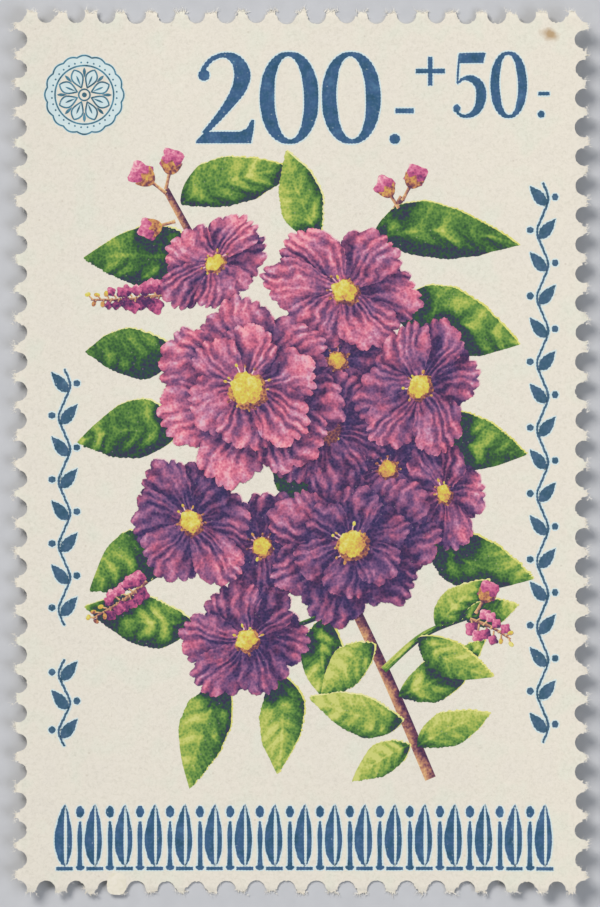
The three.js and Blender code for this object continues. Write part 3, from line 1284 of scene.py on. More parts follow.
# %% Foot border
FOOT_LEFT = -13.37
FOOT_RIGHT = 13.79
FOOT_LOW = -22.265
FOOT_HEIGHT = 3.5
FOOT_UNITS = 17
FOOT_PITCH = (FOOT_RIGHT - FOOT_LEFT) / FOOT_UNITS
LEAF_RAISED = 0.2
LEAF_HEIGHT = FOOT_HEIGHT - LEAF_RAISED
THICK_HALF = (0.55, 0.06, -1)
THIN_HALF = (0.38, 0.12, 1)
LEAF_BAR = (0.45, 0.08)
SHAFT = [(0.05, 0.15), (0.9, 0.11), (1.9, 0.13), (2.6, 0.06)]
foot = Film("blue_foot_border")


def half_leaf(x, full, inner, side):
    """One half of an upright leaf, between its midrib and its edge."""
    share = np.linspace(0, 1, 26)
    up = FOOT_LOW + LEAF_RAISED + LEAF_HEIGHT * share
    edge = full * np.sin(math.pi * share**0.8) ** 0.75
    rib = inner * np.sin(math.pi * share**0.8) ** 0.5
    upright = blade(up, side * edge, side * rib)[:, ::-1]
    return ring_of(upright + (x, 0))


def foot_leaf(x):
    """A leaf with a thick left half and a thin right half on a short bar."""
    print_blue(foot, [half_leaf(x, *THICK_HALF)])
    print_blue(foot, [half_leaf(x, *THIN_HALF)])
    print_blue(foot, [bar(x - 0.02, FOOT_LOW + 0.08, *LEAF_BAR)])


def foot_spear(x):
    """A thin shaft on a bead, with a longer bead over it, that fills the gap between two leaves."""
    shaft = pen_stroke([(x, FOOT_LOW + up, half) for up, half in SHAFT])
    print_blue(foot, [shaft, oval(x, FOOT_LOW + 0.14, 0.23, 0.14, 0, 24)])
    print_blue(foot, [oval(x, FOOT_LOW + FOOT_HEIGHT - 0.4, 0.22, 0.32, 0, 24, 1.8)])


for i in range(FOOT_UNITS):
    foot_leaf(FOOT_LEFT + FOOT_PITCH * (i + 0.5))
for i in range(1, FOOT_UNITS):
    foot_spear(FOOT_LEFT + FOOT_PITCH * i)
foot.build(blue_ink, "stamp_paper")

# %% Side borders
VINE_PITCH = 1.72
VINE_SWING = 0.3
VINE_PEN = 0.06
VINE_SPAN = 8
VINE_LEAF_LENGTH = 1.34
VINE_LEAF_WIDTH = 0.35
VINE_LEAF_RISE = 0.3
VINE_LEAF_HEADING = 0.62
VINE_LEAF_ROOT = (0.22, -0.32)
BERRY = 0.18
BERRY_PLACE = (0.66, 0.1)
BERRY_SIDES = 36
sides = Film("blue_side_borders")


def vine_leaf(x, y, side):
    """A leaf that springs from the stem, crosses to the other side and ends in a point."""
    share = np.linspace(0, 1, 16)
    across = VINE_LEAF_WIDTH * np.sin(math.pi * share**0.75)
    rise = VINE_LEAF_RISE * share**2
    leaf = turned(blade(VINE_LEAF_LENGTH * share, rise + across, rise - 0.8 * across), VINE_LEAF_HEADING)
    return ring_of(leaf * (side, 1) + (x, y))


def vine(x, low, high, lean):
    """A wavy stem with a leaf on each bend and a berry opposite it."""
    count = max(2, round((high - low) / VINE_PITCH))
    pitch = (high - low) / count
    path = []
    for i in range(2 * count + 1):
        swing = lean * VINE_SWING * math.sin(math.pi * i / 2)
        path.append((x + swing, low + pitch * i / 2, VINE_PEN))
    print_blue(sides, [pen_stroke(path, VINE_SPAN)])
    for i in range(count):
        side = lean if i % 2 == 0 else -lean
        y = low + pitch * (i + 0.5)
        root = (x + side * VINE_LEAF_ROOT[0], y + VINE_LEAF_ROOT[1])
        berry = (x + side * BERRY_PLACE[0], y + BERRY_PLACE[1])
        print_blue(sides, [vine_leaf(*root, -side)])
        print_blue(sides, [oval(*berry, BERRY, BERRY, 0, BERRY_SIDES)])


for x, low, high, lean in ((12.87, -15.46, 14.36, 1), (-12.6, -9.24, 4.42, -1), (-12.6, -15.66, -11.05, -1)):
    vine(x, low, high, lean)
sides.build(line_ink, "stamp_paper")

# %% [markdown]
# ## Painted shapes
#
# The picture is a spray of flowers in the manner of old plant prints: each petal and leaf is a patch of
# colour with strokes that follow its growth, lit from the upper left, and darker where another one covers
# it. Each patch becomes a film of its own. Two sets of numbers travel with its points: *brush* says where
# a point lies within its petal or leaf, for folds and veins, and *tone* says how light it is there, how
# much shade falls on it, and how near it is to a lit or a dark rim.
# A painted image would be quicker to make, but outlines and numbers stay sharp at any size.

# %% Places of painted shapes
LIGHT = np.array([-0.62, 0.78])
SEED_STEP = 3.7
ROUND_SHADING = 0.14
shapes = []


class Place:
    """Where a shape stands on the stamp. Its own x runs along it and its own y across it."""

    def __init__(self, x, y, heading, bend=0.0, squash=1.0, squash_heading=0.0):
        c, s = toward(heading)
        flat_way = toward(squash_heading)
        flatten = np.eye(2) + (squash - 1) * np.outer(flat_way, flat_way)
        self.matrix = flatten @ np.array([[c, -s], [s, c]])
        self.inverse = np.linalg.inv(self.matrix)
        self.start = np.array([x, y])
        self.bend = bend

    def out(self, local):
        """From a shape's own places to places on the stamp."""
        local = np.asarray(local, float)
        bent = np.column_stack([local[:, 0], local[:, 1] + self.bend * local[:, 0] ** 2])
        return bent @ self.matrix.T + self.start

    def back(self, points):
        """From places on the stamp to a shape's own."""
        local = (points - self.start) @ self.inverse.T
        return np.column_stack([local[:, 0], local[:, 1] - self.bend * local[:, 0] ** 2])


def paint_shape(kind, ring, brush, depth=1.0):
    """Keeps a shape for later. The order of painting is the order of calls. Brush gives, for points, their
    place in the shape, their own lightness and their own shade. Depth is the shade cast on others. The
    seed keeps the strokes of one shape apart from those of the next."""
    seed = SEED_STEP * len(shapes)
    shapes.append({"kind": kind, "ring": ring_of(ring), "brush": brush, "depth": depth, "seed": seed})


def round_brush(middle, radius, light):
    """Places measured from the middle of a round shape, which darkens towards its lower right."""

    def brush(points):
        local = points - middle
        lit = local @ LIGHT / radius
        return local, light + ROUND_SHADING * np.clip(lit, -1.5, 1), np.zeros(len(points))

    return brush


print("light comes from:", LIGHT)

# %% [markdown]
# ## Crumpled petals
#
# The flowers are open and round with broad petals that overlap, like a mallow or an anemone, and the
# petals are crumpled like crepe paper. Each one has folds that fan out from its base and waver. Where a
# fold runs out at the edge it makes a rounded lobe, and between two lobes is a sharp notch.
# One function says how many folds a point lies from the middle of its petal. The outline uses it to cut
# the notches, and the ink uses it to paint each fold, so that the two always meet.

# %% Folds
FOLD = 0.58
FEWEST_FOLDS = 3
LOBE = 0.34
LOBE_LEVEL = 0.8
RUFFLE = 0.05
RUFFLE_COUNTS = (3, 5, 8)
TORN_RIM = 0.042
PETAL_WALK = 0.07


def half_wave_steps(count):
    """Steps from 0 to 1, closer together at both ends, where an outline bends most."""
    return (1 - np.cos(math.pi * np.linspace(0, 1, count))) / 2


def fold_count(length, width, chance):
    """Makes the function that counts the folds of one petal, whole numbers in the valleys."""
    start = chance.spread(math.pi, 4)
    count = max(FEWEST_FOLDS, width / FOLD)
    fan_half = math.atan2(width / 2, 0.85 * length)

    def folds(local):
        """Folds fan out from a point behind the base, and slow waves make them waver."""
        x = local[:, 0] + 0.22 * length
        fan = np.arctan2(local[:, 1], x) / fan_half
        reach = np.hypot(x, local[:, 1])
        waver = 0.34 * np.sin(1.7 * reach + start[0]) + 0.3 * np.sin(4.3 * fan + 0.8 * reach + start[1])
        return count / 2 * fan + waver + 0.12 * np.sin(6.1 * reach + 5 * fan + start[2]) + start[3]

    return folds


def petal_ring(length, width, folds, chance):
    """The outline of a petal: narrow at its base, lobed and ruffled at its end."""
    t = half_wave_steps(30)
    across = width / 2 * np.sin(math.pi * t**1.55) ** 0.62
    ring = walked(blade(length * t, across, -across), PETAL_WALK)
    middle = np.array([length * 0.5, 0])
    turn = np.arctan2(ring[:, 1], ring[:, 0] - middle[0])
    ruffle = sum(RUFFLE * np.sin(count * turn + chance.between(0, 2 * math.pi)) for count in RUFFLE_COUNTS)
    lobes = LOBE * (np.abs(np.sin(math.pi * folds(ring))) ** 0.55 - LOBE_LEVEL)
    outer = np.clip(1.6 * ring[:, 0] / length - 0.45, 0, 1)
    fine = chance.spread(TORN_RIM, len(ring))
    return ring + unit(ring - middle) * ((ruffle * length * 0.25 + lobes) * outer + fine)[:, None]


print("folds across a petal 5 mm wide:", round(5 / FOLD, 1))


# %% Petals
THROAT_SHARE = 0.3
THROAT_LIGHT = 0.42
END_LIGHT = 0.3
DARK_BAND = 0.32
DARK_BAND_REACH = 0.2
DARK_BAND_SHADE = 0.28
PETAL_BEND = 0.03


def petal_brush(place, length, folds, light):
    """Folds across, millimetres along. A petal is palest at its throat and its end, and a darker band
    lies between them."""

    def brush(points):
        local = place.back(points)
        t = np.clip(local[:, 0] / length, 0, 1.2)
        own_light = light + END_LIGHT * (t - 0.55) + THROAT_LIGHT * np.clip(1 - t / THROAT_SHARE, 0, 1)
        band = np.clip(1 - np.abs(t - DARK_BAND) / DARK_BAND_REACH, 0, 1)
        return np.column_stack([folds(local), local[:, 0]]), own_light, DARK_BAND_SHADE * band

    return brush


def make_petal(middle, heading, length, width, light, chance, squash, squash_heading):
    """The outline and the brush of one petal."""
    place = Place(*middle, heading, chance.between(-PETAL_BEND, PETAL_BEND), squash, squash_heading)
    folds = fold_count(length, width, chance)
    return place.out(petal_ring(length, width, folds, chance)), petal_brush(place, length, folds, light)


print("share of a petal's length at which it is darkest:", DARK_BAND)

# %% [markdown]
# ## Flowers
#
# A flower is a ring of petals, a smaller ring inside it on the fuller ones, a yellow boss and a fringe of
# stamens. A flower that is seen from the side is the same flower, squashed along one direction.

# %% Bosses
BOSS_SIDES = 48
FEWEST_STAMENS = 9
STAMENS_PER_MM = 15
STAMEN_START = 0.8
STAMEN_END = (1.12, 1.6)
BOSS_RINGS = ((1.18, -0.22, -0.2, 0.5), (0.96, 0.04, 0.0, 0.25))


def paint_boss(middle, radius, squash, squash_heading, chance):
    """The yellow middle: a fringe of stamens, then a darker ragged ring that is shifted away from the
    light, and a lighter one on it."""
    place = Place(*middle, 0, 0, squash, squash_heading)
    count = max(FEWEST_STAMENS, round(radius * STAMENS_PER_MM))
    for i in range(count):
        turn = 2 * math.pi * (i + chance.between(-0.45, 0.45)) / count
        way = toward(turn)
        start, end = place.out([way * radius * STAMEN_START, way * radius * chance.between(*STAMEN_END)])
        bent = (start + end) / 2 + chance.spread(0.06, 2)
        line = pen_stroke([(*start, 0.05), (*bent, 0.035), (*end, 0.03)], 3)
        paint_shape("filament", line, round_brush(start, 1.0, 0.5), 0.25)
        tip = oval(*end, chance.between(0.07, 0.13), chance.between(0.05, 0.09), turn, 10)
        paint_shape("boss", tip, round_brush(end, 0.14, chance.between(-0.25, 0.1)), 0.3)
    turn = even_turns(BOSS_SIDES)
    for reach, light, shift, depth in BOSS_RINGS:
        lumps = reach + 0.09 * np.sin(5 * turn + chance.between(0, 6)) + chance.spread(0.08, BOSS_SIDES)
        ring = np.column_stack([np.cos(turn), np.sin(turn)]) * (radius * lumps)[:, None]
        ring = place.out(ring + shift * radius * LIGHT)
        paint_shape("boss", ring, round_brush(middle, radius, light), depth)


print("points on the outline of a boss:", BOSS_SIDES)


# %% Whole flowers
ROSE_SHIFT = np.array([0.05, 0.05])
INNER_RING = 0.68
BOSS_SHARE = 0.16
PETAL_TURN = 0.12
PETAL_LENGTH = (0.9, 1.08)
PETAL_MIDDLE = 0.66
PETAL_OVERLAP = (1.14, 1.36)
BLUSH_LIGHT = 0.3
PETAL_LIGHT = 0.09
rose_rings = []


def paint_flower(x, y, radius, petals, seed, blush, squash=1.0, squash_heading=0.0, full=False):
    """A flower. Blush runs from 0, deep violet, to 1, rose. The rose plate is a little to one side too."""
    chance = Chance(seed)
    middle = np.array([x, y])
    first_turn = chance.between(0, 2 * math.pi)
    rings = [(radius, petals)] + ([(radius * INNER_RING, petals - 1)] if full else [])
    made = []
    for reach, count in rings:
        for i in range(count):
            heading = first_turn + 2 * math.pi * (i + chance.between(-PETAL_TURN, PETAL_TURN)) / count
            length = reach * chance.between(*PETAL_LENGTH)
            width = 2 * math.pi * reach * PETAL_MIDDLE / count * chance.between(*PETAL_OVERLAP)
            light = BLUSH_LIGHT * (blush - 0.5) + chance.between(-PETAL_LIGHT, PETAL_LIGHT)
            made.append(make_petal(middle, heading, length, width, light, chance, squash, squash_heading))
        first_turn += math.pi / petals
    for ring, brush in made:
        paint_shape("petal", ring, brush)
    rose_rings.extend(ring_of(ring + ROSE_SHIFT) for ring, brush in made[:petals])
    paint_boss(middle, radius * BOSS_SHARE, squash, squash_heading, chance)


print("reach of a full flower's inner ring, as a share of the outer one:", INNER_RING)

# %% [markdown]
# ## Leaves
#
# A leaf is a pointed blade on a bent midrib. Its half on the lit side is yellower, soft pale streaks
# follow the veins, and it goes dark and brown at its base. The yellow plate was printed a little to one
# side, so a fringe of yellow shows along one edge: a small fault that most prints of this kind have.

# %% Outline of a leaf
LEAF_WALK = 0.08
LEAF_RIM = 0.03


def leaf_ring(length, width, chance):
    """A pointed blade, a little fuller on one side, with a faintly wavy edge."""
    t = half_wave_steps(30)
    upper = width / 2 * np.sin(math.pi * t**0.8) ** 0.92
    lower = width / 2 * np.sin(math.pi * t**0.92)
    ring = walked(blade(length * t, upper, -lower), LEAF_WALK)
    wave = LEAF_RIM * np.sin(ring[:, 0] * 4.1 + chance.between(0, 6)) * np.sign(ring[:, 1])
    swell = np.sin(math.pi * np.clip(ring[:, 0] / length, 0, 1))
    fine = chance.spread(LEAF_RIM, len(ring))
    return ring + np.column_stack([fine, wave * swell + fine])


print("points on a leaf of 5 mm:", len(leaf_ring(5, 2.5, Chance(1))))

# %% Leaves
YELLOW_SHIFT = np.array([0.07, 0.055])
YELLOW_SPREAD = 0.01
YELLOW_RAGGED = 0.035
VEINS = 5.5
BASE_SHARE = 0.22


def leaf_brush(place, length, width, yellowness, lit_side):
    """Shares of the half width across, side veins along. A yellow leaf is lighter, most of all at its
    tip. Each leaf is darker on its far half, at its base and along its far edge."""

    def brush(points):
        local = place.back(points)
        t = np.clip(local[:, 0] / length, 0, 1)
        across = local[:, 1] / (width / 2)
        light = 0.48 * (yellowness - 0.55) + 0.34 * (t - 0.55) * yellowness
        light = light + 0.13 * np.clip(across * lit_side * 2, -1, 1)
        base = (0.35 + 0.45 * yellowness) * np.clip(1 - t / BASE_SHARE, 0, 1)
        far_edge = (0.75 - 0.35 * yellowness) * np.clip(-1.8 * across * lit_side - 0.9, 0, 1)
        return np.column_stack([across, VEINS * local[:, 0] / length]), light, np.maximum(base, far_edge)

    return brush


def paint_leaf(x, y, heading, length, width, bend, yellowness, seed):
    """A leaf. Heading is in degrees, and yellowness runs from 0, dark green, to 1, yellow-green."""
    chance = Chance(seed)
    place = Place(x, y, math.radians(heading), bend)
    ring = place.out(leaf_ring(length, width, chance))
    fringe = ring_of(ring)
    fringe = pushed(fringe, YELLOW_SPREAD + chance.spread(YELLOW_RAGGED, len(fringe))) + YELLOW_SHIFT
    paint_shape("yellow", fringe, round_brush(np.array([x, y]), 1.0, 0.0), 0.0)
    lit_side = 1 if place.matrix[:, 1] @ LIGHT > 0 else -1
    paint_shape("leaf", ring, leaf_brush(place, length, width, yellowness, lit_side))


print("shift of the yellow plate, mm:", YELLOW_SHIFT)

# %% [markdown]
# ## Stems, buds and spikes
#
# Stems are tapered pen strokes, light on their upper left side. A bud is a small crumpled ball in a brown
# cup. A spike is a young twig set with buds that get smaller, and more orange, towards its tip.

# %% Stems
STEM_SPAN = 8
STEM_SHADING = 0.3


def stem_brush(path, light):
    """Places across and along a stem."""
    ahead = unit(np.gradient(path[:, :2], axis=0))
    side = np.column_stack([-ahead[:, 1], ahead[:, 0]])

    def brush(points):
        gap = points[:, None, :] - path[None, :, :2]
        nearest = np.argmin(np.sum(gap**2, axis=2), axis=1)
        across = np.sum(gap[np.arange(len(points)), nearest] * side[nearest], axis=1) / path[nearest, 2]
        lit = across * np.sign(side[nearest] @ LIGHT)
        own_light = light + STEM_SHADING * np.clip(lit, -1, 1)
        return np.column_stack([lit, nearest * 0.1]), own_light, np.zeros(len(points))

    return brush


def paint_stem(points, light=0.0, kind="stem"):
    """A tapering stem. Each point is x, y and half its width. Light is higher on young, orange twigs."""
    paint_shape(kind, pen_stroke(points, STEM_SPAN), stem_brush(spline(points, STEM_SPAN), light))


print("painted shapes so far:", len(shapes))


# %% Buds
CUP = [(0, 0.16), (0.26, 0.4), (0.6, 0.5), (0.42, 0.22), (0.66, 0.0)]
CUP += [(x, -y) for x, y in CUP[3::-1]]


def lumpy_ring(middle, radius, chance, sides=24):
    """A round outline with a few lumps."""
    turn = even_turns(sides)
    lumps = 1 + 0.14 * np.sin(4 * turn + chance.between(0, 6)) + chance.spread(0.09, sides)
    return middle + np.column_stack([np.cos(turn), np.sin(turn)]) * (radius * lumps)[:, None]


def paint_bud(x, y, heading, size, seed):
    """A round bud on a short stalk, with a toothed cup under it."""
    heading = math.radians(heading)
    ahead = toward(heading)
    foot = np.array([x, y])
    end = foot + ahead * size
    middle = foot + ahead * size * 1.4
    paint_stem([(*foot, 0.1), (*(foot + ahead * size * 0.5), 0.08), (*end, 0.12)], 0.25)
    paint_shape("bud", lumpy_ring(middle, size * 0.54, Chance(seed)), round_brush(middle, size * 0.6, 0.1))
    cup = Place(*(foot + ahead * size * 0.74), heading).out(spline(np.array(CUP) * size, 4, True))
    paint_shape("boss", cup, round_brush(end, size * 0.5, -0.36), 0.6)


print("points on the cup of a bud:", len(CUP))

# %% Spikes
SPIKE_PITCH = 0.21
TIP_FROM = 0.72


def paint_spike(x, y, heading, length, seed):
    """A young twig with two rows of buds. Near its tip they are long and orange."""
    chance = Chance(seed)
    ahead = toward(math.radians(heading))
    aside = np.array([-ahead[1], ahead[0]])
    foot = np.array([x, y])
    tip = foot + ahead * length
    paint_stem([(*foot, 0.1), (*((foot + tip) / 2 + aside * 0.12), 0.08), (*tip, 0.05)], 0.3)
    count = round(length / SPIKE_PITCH)
    for i in range(count):
        share = (i + 0.5) / count
        side = 1 if i % 2 else -1
        at = foot + (tip - foot) * share
        stalk = aside * side * (0.6 - 0.36 * share) * chance.between(0.7, 1.2)
        knob = at + stalk + ahead * chance.between(0.1, 0.3)
        paint_stem([(*at, 0.05), (*((at + knob) / 2), 0.045), (*knob, 0.045)], 0.35)
        if share > TIP_FROM:
            ring, kind = oval(*knob, 0.16, 0.11, chance.between(0, 3), 14), "boss"
        else:
            ring, kind = lumpy_ring(knob, (0.4 - 0.22 * share) * chance.between(0.8, 1.15), chance, 20), "bud"
        paint_shape(kind, ring, round_brush(knob, 0.3, chance.between(0.0, 0.22)), 0.4)


print("a spike of 4 mm has", round(4 / SPIKE_PITCH), "buds")

# %% [markdown]
# ## The spray
#
# Now the spray is laid out, back to front. A long stem rises from the lower right and leans over to the
# upper left. Leaves come first, then the buds and spikes at the ends, and the flowers over them all.
# Each row below is one shape, placed in millimetres from the middle of the stamp. Where side stems are
# green at the foot of the spray, they are printed with the leaves.

# %% Stems of the spray
SIDE_STEM_LIGHT = 0.12
MAIN_STEM = [(6.9, -17.4, 0.3), (4.6, -12.0, 0.29), (1.6, -5.5, 0.25)]
MAIN_STEM += [(-1.0, 1.5, 0.2), (-4.0, 8.0, 0.22), (-7.2, 14.0, 0.18)]
paint_stem(MAIN_STEM)
# Each side stem: the plate it is printed with, then x, y and half the width at three points.
for kind, *side_stem in (
    ("leaf", (4.4, -11.6, 0.19), (6.6, -9.7, 0.17), (9.2, -8.7, 0.12)),
    ("leaf", (3.0, -8.0, 0.13), (-1.6, -9.8, 0.12), (-4.6, -11.2, 0.1)),
    ("stem", (-1.4, 3.8, 0.18), (2.6, 8.8, 0.18), (5.4, 13.6, 0.16)),
    ("stem", (-4.0, 8.0, 0.13), (-5.8, 8.6, 0.12), (-7.4, 8.4, 0.1)),
    ("leaf", (-6.0, -5.6, 0.13), (-7.4, -6.4, 0.12), (-8.6, -7.1, 0.1)),
):
    paint_stem(side_stem, SIDE_STEM_LIGHT, kind)
print("painted stems:", len(shapes))

# %% Leaves of the spray
# Each leaf: x, y, heading in degrees, length, width, bend, yellowness and seed.
for leaf in (
    (-5.0, 10.0, 166, 6.5, 3.4, 0.03, 0.2, 11),
    (-6.4, 13.2, 34, 6.2, 2.8, -0.05, 0.45, 12),
    (1.0, 11.4, 122, 4.9, 2.4, -0.04, 0.7, 13),
    (3.8, 11.2, 22, 7.2, 3.3, -0.06, 0.15, 14),
    (4.8, 7.4, -2, 6.9, 3.6, -0.03, 0.25, 15),
    (6.2, 1.6, -30, 5.9, 3.2, 0.04, 0.1, 16),
    (6.6, -4.6, -34, 6.0, 3.0, 0.04, 0.35, 17),
    (-6.4, 1.2, 172, 5.4, 3.2, 0.05, 0.15, 18),
    (-6.8, 5.6, 196, 4.6, 2.8, -0.05, 0.1, 61),
    (-7.0, -4.8, 200, 4.9, 3.0, 0.04, 0.3, 19),
    (-4.0, -12.2, 238, 5.9, 2.7, 0.04, 0.6, 20),
    (-1.4, -11.8, 286, 5.2, 2.5, -0.05, 0.75, 21),
    (-5.8, -9.0, 188, 5.6, 2.8, -0.05, 0.4, 29),
    (1.2, -8.8, 262, 4.8, 2.4, 0.05, 0.8, 30),
    (3.9, -10.2, 214, 4.2, 2.0, 0.06, 1.0, 22),
    (5.2, -13.0, 18, 5.3, 2.3, 0.05, 0.85, 23),
    (5.4, -14.3, 180, 5.0, 2.2, -0.05, 0.9, 24),
    (6.2, -15.7, 34, 4.2, 1.9, -0.04, 1.0, 25),
    (5.8, -15.6, 202, 3.6, 1.7, 0.05, 1.0, 62),
    (6.2, -9.9, -42, 4.4, 2.0, 0.06, 0.75, 26),
    (7.2, -9.3, 52, 3.7, 1.8, -0.05, 0.9, 27),
    (8.6, -8.8, 4, 3.0, 1.5, 0.05, 1.0, 28),
    (-1.2, 0.4, 300, 4.6, 2.8, 0.04, 0.1, 47),
    (4.4, 0.6, 200, 4.6, 2.8, 0.04, 0.1, 48),
):
    paint_leaf(*leaf)
print("painted shapes with stems and leaves:", len(shapes))

# %% Buds of the spray
# Each bud: x, y, heading in degrees, size and seed. A spike has a length in place of the size.
for bud in (
    (-7.2, 14.0, 78, 1.15, 31),
    (-7.2, 13.8, 142, 1.2, 32),
    (-6.7, 12.3, 196, 1.05, 33),
    (5.4, 13.4, 62, 1.1, 34),
    (5.2, 13.0, 122, 1.0, 35),
    (9.3, -8.6, 60, 1.0, 36),
):
    paint_bud(*bud)
for spike in ((-7.2, 8.4, 184, 4.0, 41), (-8.2, -6.9, 214, 3.5, 42), (9.0, -8.9, -26, 2.4, 43)):
    paint_spike(*spike)
print("painted shapes with buds and spikes:", len(shapes))

# %% Flowers of the spray
# Each flower: x, y, radius, petals, seed and blush, then how far it is squashed, in which direction in
# radians, and whether it is a full one.
for flower in (
    (1.9, 4.9, 2.9, 5, 63, 0.3),
    (4.6, -0.9, 2.9, 5, 64, 0.3),
    (-2.1, -5.0, 3.0, 5, 65, 0.2),
    (1.4, 1.2, 3.4, 5, 58, 0.4),
    (-4.6, 10.1, 3.3, 5, 57, 0.95, 0.74, 2.2),
    (7.6, -2.2, 3.0, 5, 59, 0.8, 0.72, 0.3),
    (2.3, 8.6, 4.2, 6, 51, 0.95, 0.84, 1.2),
    (-2.9, -10.0, 3.6, 6, 56, 0.15, 0.88, 2.0),
    (-5.9, -3.7, 3.8, 6, 52, 0.35, 0.86, 0.4),
    (6.3, 3.5, 3.9, 6, 53, 0.75, 0.86, 2.6),
    (2.7, -4.9, 4.6, 7, 54, 0.15, 0.93, 1.9, True),
    (-2.9, 3.4, 5.4, 7, 55, 0.8, 0.96, 1.0, True),
):
    paint_flower(*flower)
print("painted shapes:", len(shapes))

# %% [markdown]
# ## Order and shade
#
# Each shape lies one step higher than whatever it covers, and a step is only 0.0016 mm.
# Shade is worked out point by point: a point is dark where a later shape lies over it or just to its
# upper left, and its own edge is bright on the lit side and dark on the far side.

# %% Levels
def box_of(ring, margin=0.0):
    """The low and the high corner of the box round some points."""
    return ring.min(axis=0) - margin, ring.max(axis=0) + margin


def boxes_meet(a, b):
    """True if two boxes share any place."""
    return bool(np.all(a[0] <= b[1]) and np.all(b[0] <= a[1]))


for number, shape in enumerate(shapes):
    shape["box"] = box_of(shape["ring"])
    level = 1
    for other in shapes[:number]:
        if other["level"] >= level and boxes_meet(shape["box"], other["box"]):
            if inside(shape["ring"], other["ring"]).any() or inside(other["ring"], shape["ring"]).any():
                level = other["level"] + 1
    shape["level"] = level
print("highest level:", max(shape["level"] for shape in shapes))

# %% Shade
SHADE_REACH = 0.75
SHADE_SHIFT = 0.22
SHADE_FALL = 1.3
RIM_REACH = 0.17
DARK_RIM = 0.25


def shade_on(number, points):
    """Shade from 0 to 1 on points of a shape, from the shapes painted after it."""
    shade = np.zeros(len(points))
    nearer_light = points + LIGHT * SHADE_SHIFT
    box = box_of(points, SHADE_REACH + SHADE_SHIFT)
    for other in shapes[number + 1 :]:
        if other["depth"] and boxes_meet(box, other["box"]):
            away = nearest_edge(other["ring"], nearer_light)[0]
            away[inside(other["ring"], nearer_light)] = 0
            cast = np.clip(1 - away / SHADE_REACH, 0, 1) ** SHADE_FALL * other["depth"]
            shade = np.maximum(shade, cast)
    return shade


def paint_of(number):
    """The two sets of numbers for the points of one shape."""
    shape = shapes[number]

    def paint(points):
        """Brush is the place in the shape and its seed. Tone is lightness, shade and rim."""
        place, light, own_shade = shape["brush"](points)
        away, outward = nearest_edge(shape["ring"], points)
        rim = np.clip(1 - away / RIM_REACH, 0, 1) * (outward @ LIGHT - DARK_RIM)
        shade = np.maximum(shade_on(number, points), own_shade)
        brush = np.column_stack([place, np.full(len(points), shape["seed"])])
        return brush, np.column_stack([light, shade, rim])

    return paint


print("shade reaches past a shape, mm:", SHADE_REACH)


# %% Films of the picture
PAINT_GRID = 0.22
PIECE_NAMES = {
    "petal": "violet_petals",
    "leaf": "green_leaves",
    "stem": "brown_stems",
    "bud": "rose_buds",
    "boss": "yellow_bosses",
    "filament": "rose_stamens",
    "yellow": "yellow_plate",
}
films = {kind: Film(name) for kind, name in PIECE_NAMES.items()}
for number, shape in enumerate(shapes):
    lay_ink(films[shape["kind"]], shape["level"], [shape["ring"]], [], PAINT_GRID, paint_of(number))
rose_plate = Film("rose_plate")
lay_ink(rose_plate, 0, rose_rings, [], 2 * PAINT_GRID)
print("points of the films:", {film.name: film.count for film in [*films.values(), rose_plate]})

# %% [markdown]
# ## Ink colours of the picture
#
# Four transparent inks are printed over one another, each dried before the next, and the eye sees their
# product. The violet of the petals is magenta over blue: where the blue cells are small it shows as rose,
# and where they are large it turns to deep indigo. So one ramp from indigo over plum and rose to pink
# serves for all petals, and folds, strokes, shade and rims only choose a place on it. The leaves have a
# ramp of their own, of yellow over blue. Each ink is a sum of a few patterns, so a loop adds them up: a
# node for each pattern multiplies it by its weight and adds it to the lightness so far.

# %% Shared steps of the picture's inks
CELL_CONTRAST = 0.34
DARKEST = -0.07
NO_TINT = (1.0, 1.0, 1.0, 1.0)
PAINTED_NUMBERS = {"brush": ("across", "along", "seed"), "tone": ("light", "shade", "rim")}


def begin_picture_ink(name):
    """A new material, its tree, and what was painted at each point: the place on the stamp, the brush
    and the tone as vectors, and each number in them by its name."""
    material, tree, place = begin_material(name)
    painted = {"place": place}
    for label, parts in PAINTED_NUMBERS.items():
        painted[label] = add_node(tree, "Attribute", out="Vector", attribute_name=label)
        split = add_node(tree, "SeparateXYZ", {"Vector": painted[label]}).node
        painted.update(zip(parts, split.outputs))
    return material, tree, painted


def finish_picture_ink(tree, painted, light, shade_weight, rim_weight, colours, tint=NO_TINT):
    """Takes shade off the lightness, adds the rims and the dots of the engraved cells, and colours it."""
    for term, weight in ((painted["shade"], shade_weight), (painted["rim"], rim_weight)):
        light = add_node(tree, "Math", {0: term, 1: weight, 2: light}, operation="MULTIPLY_ADD")
    light = add_node(tree, "Math", {0: light, 1: DARKEST}, operation="MAXIMUM")
    cells = add_node(tree, "TexVoronoi", {"Vector": painted["place"], "Scale": 1 / CELL_GRAIN})
    light = add_node(tree, "Math", {0: cells, 1: CELL_CONTRAST, 2: light}, operation="MULTIPLY_ADD")
    colour = add_node(tree, "ValToRGB", {"Fac": light}, stops=colours)
    colour = add_node(tree, "Mix", {0: 1.0, 6: colour, 7: tint}, 2, data_type="RGBA", blend_type="MULTIPLY")
    missed = add_node(tree, "TexVoronoi", {"Vector": painted["place"], "Scale": 1 / MISSED_CELL_SPACING})
    missed = add_node(tree, "MapRange", {"Value": missed, 1: 0.04, 2: 0.12, 3: 0.24, 4: 0.0})
    colour = add_node(tree, "Mix", {0: missed, 6: colour, 7: linear("#d8bcc4")}, 2, data_type="RGBA")
    finish_material(tree, colour, 0.6, 1.5, cells, 0.004, POROUS)


print("numbers painted at each point:", PAINTED_NUMBERS)


# %% Patches on a petal
CREPE_RATE = (1.3, 1.9, 1)
BROAD_RATE = (0.45, 0.45 / 1.3, 1)
FINE_RATE = (2.6, 1.4 / 1.3, 1)


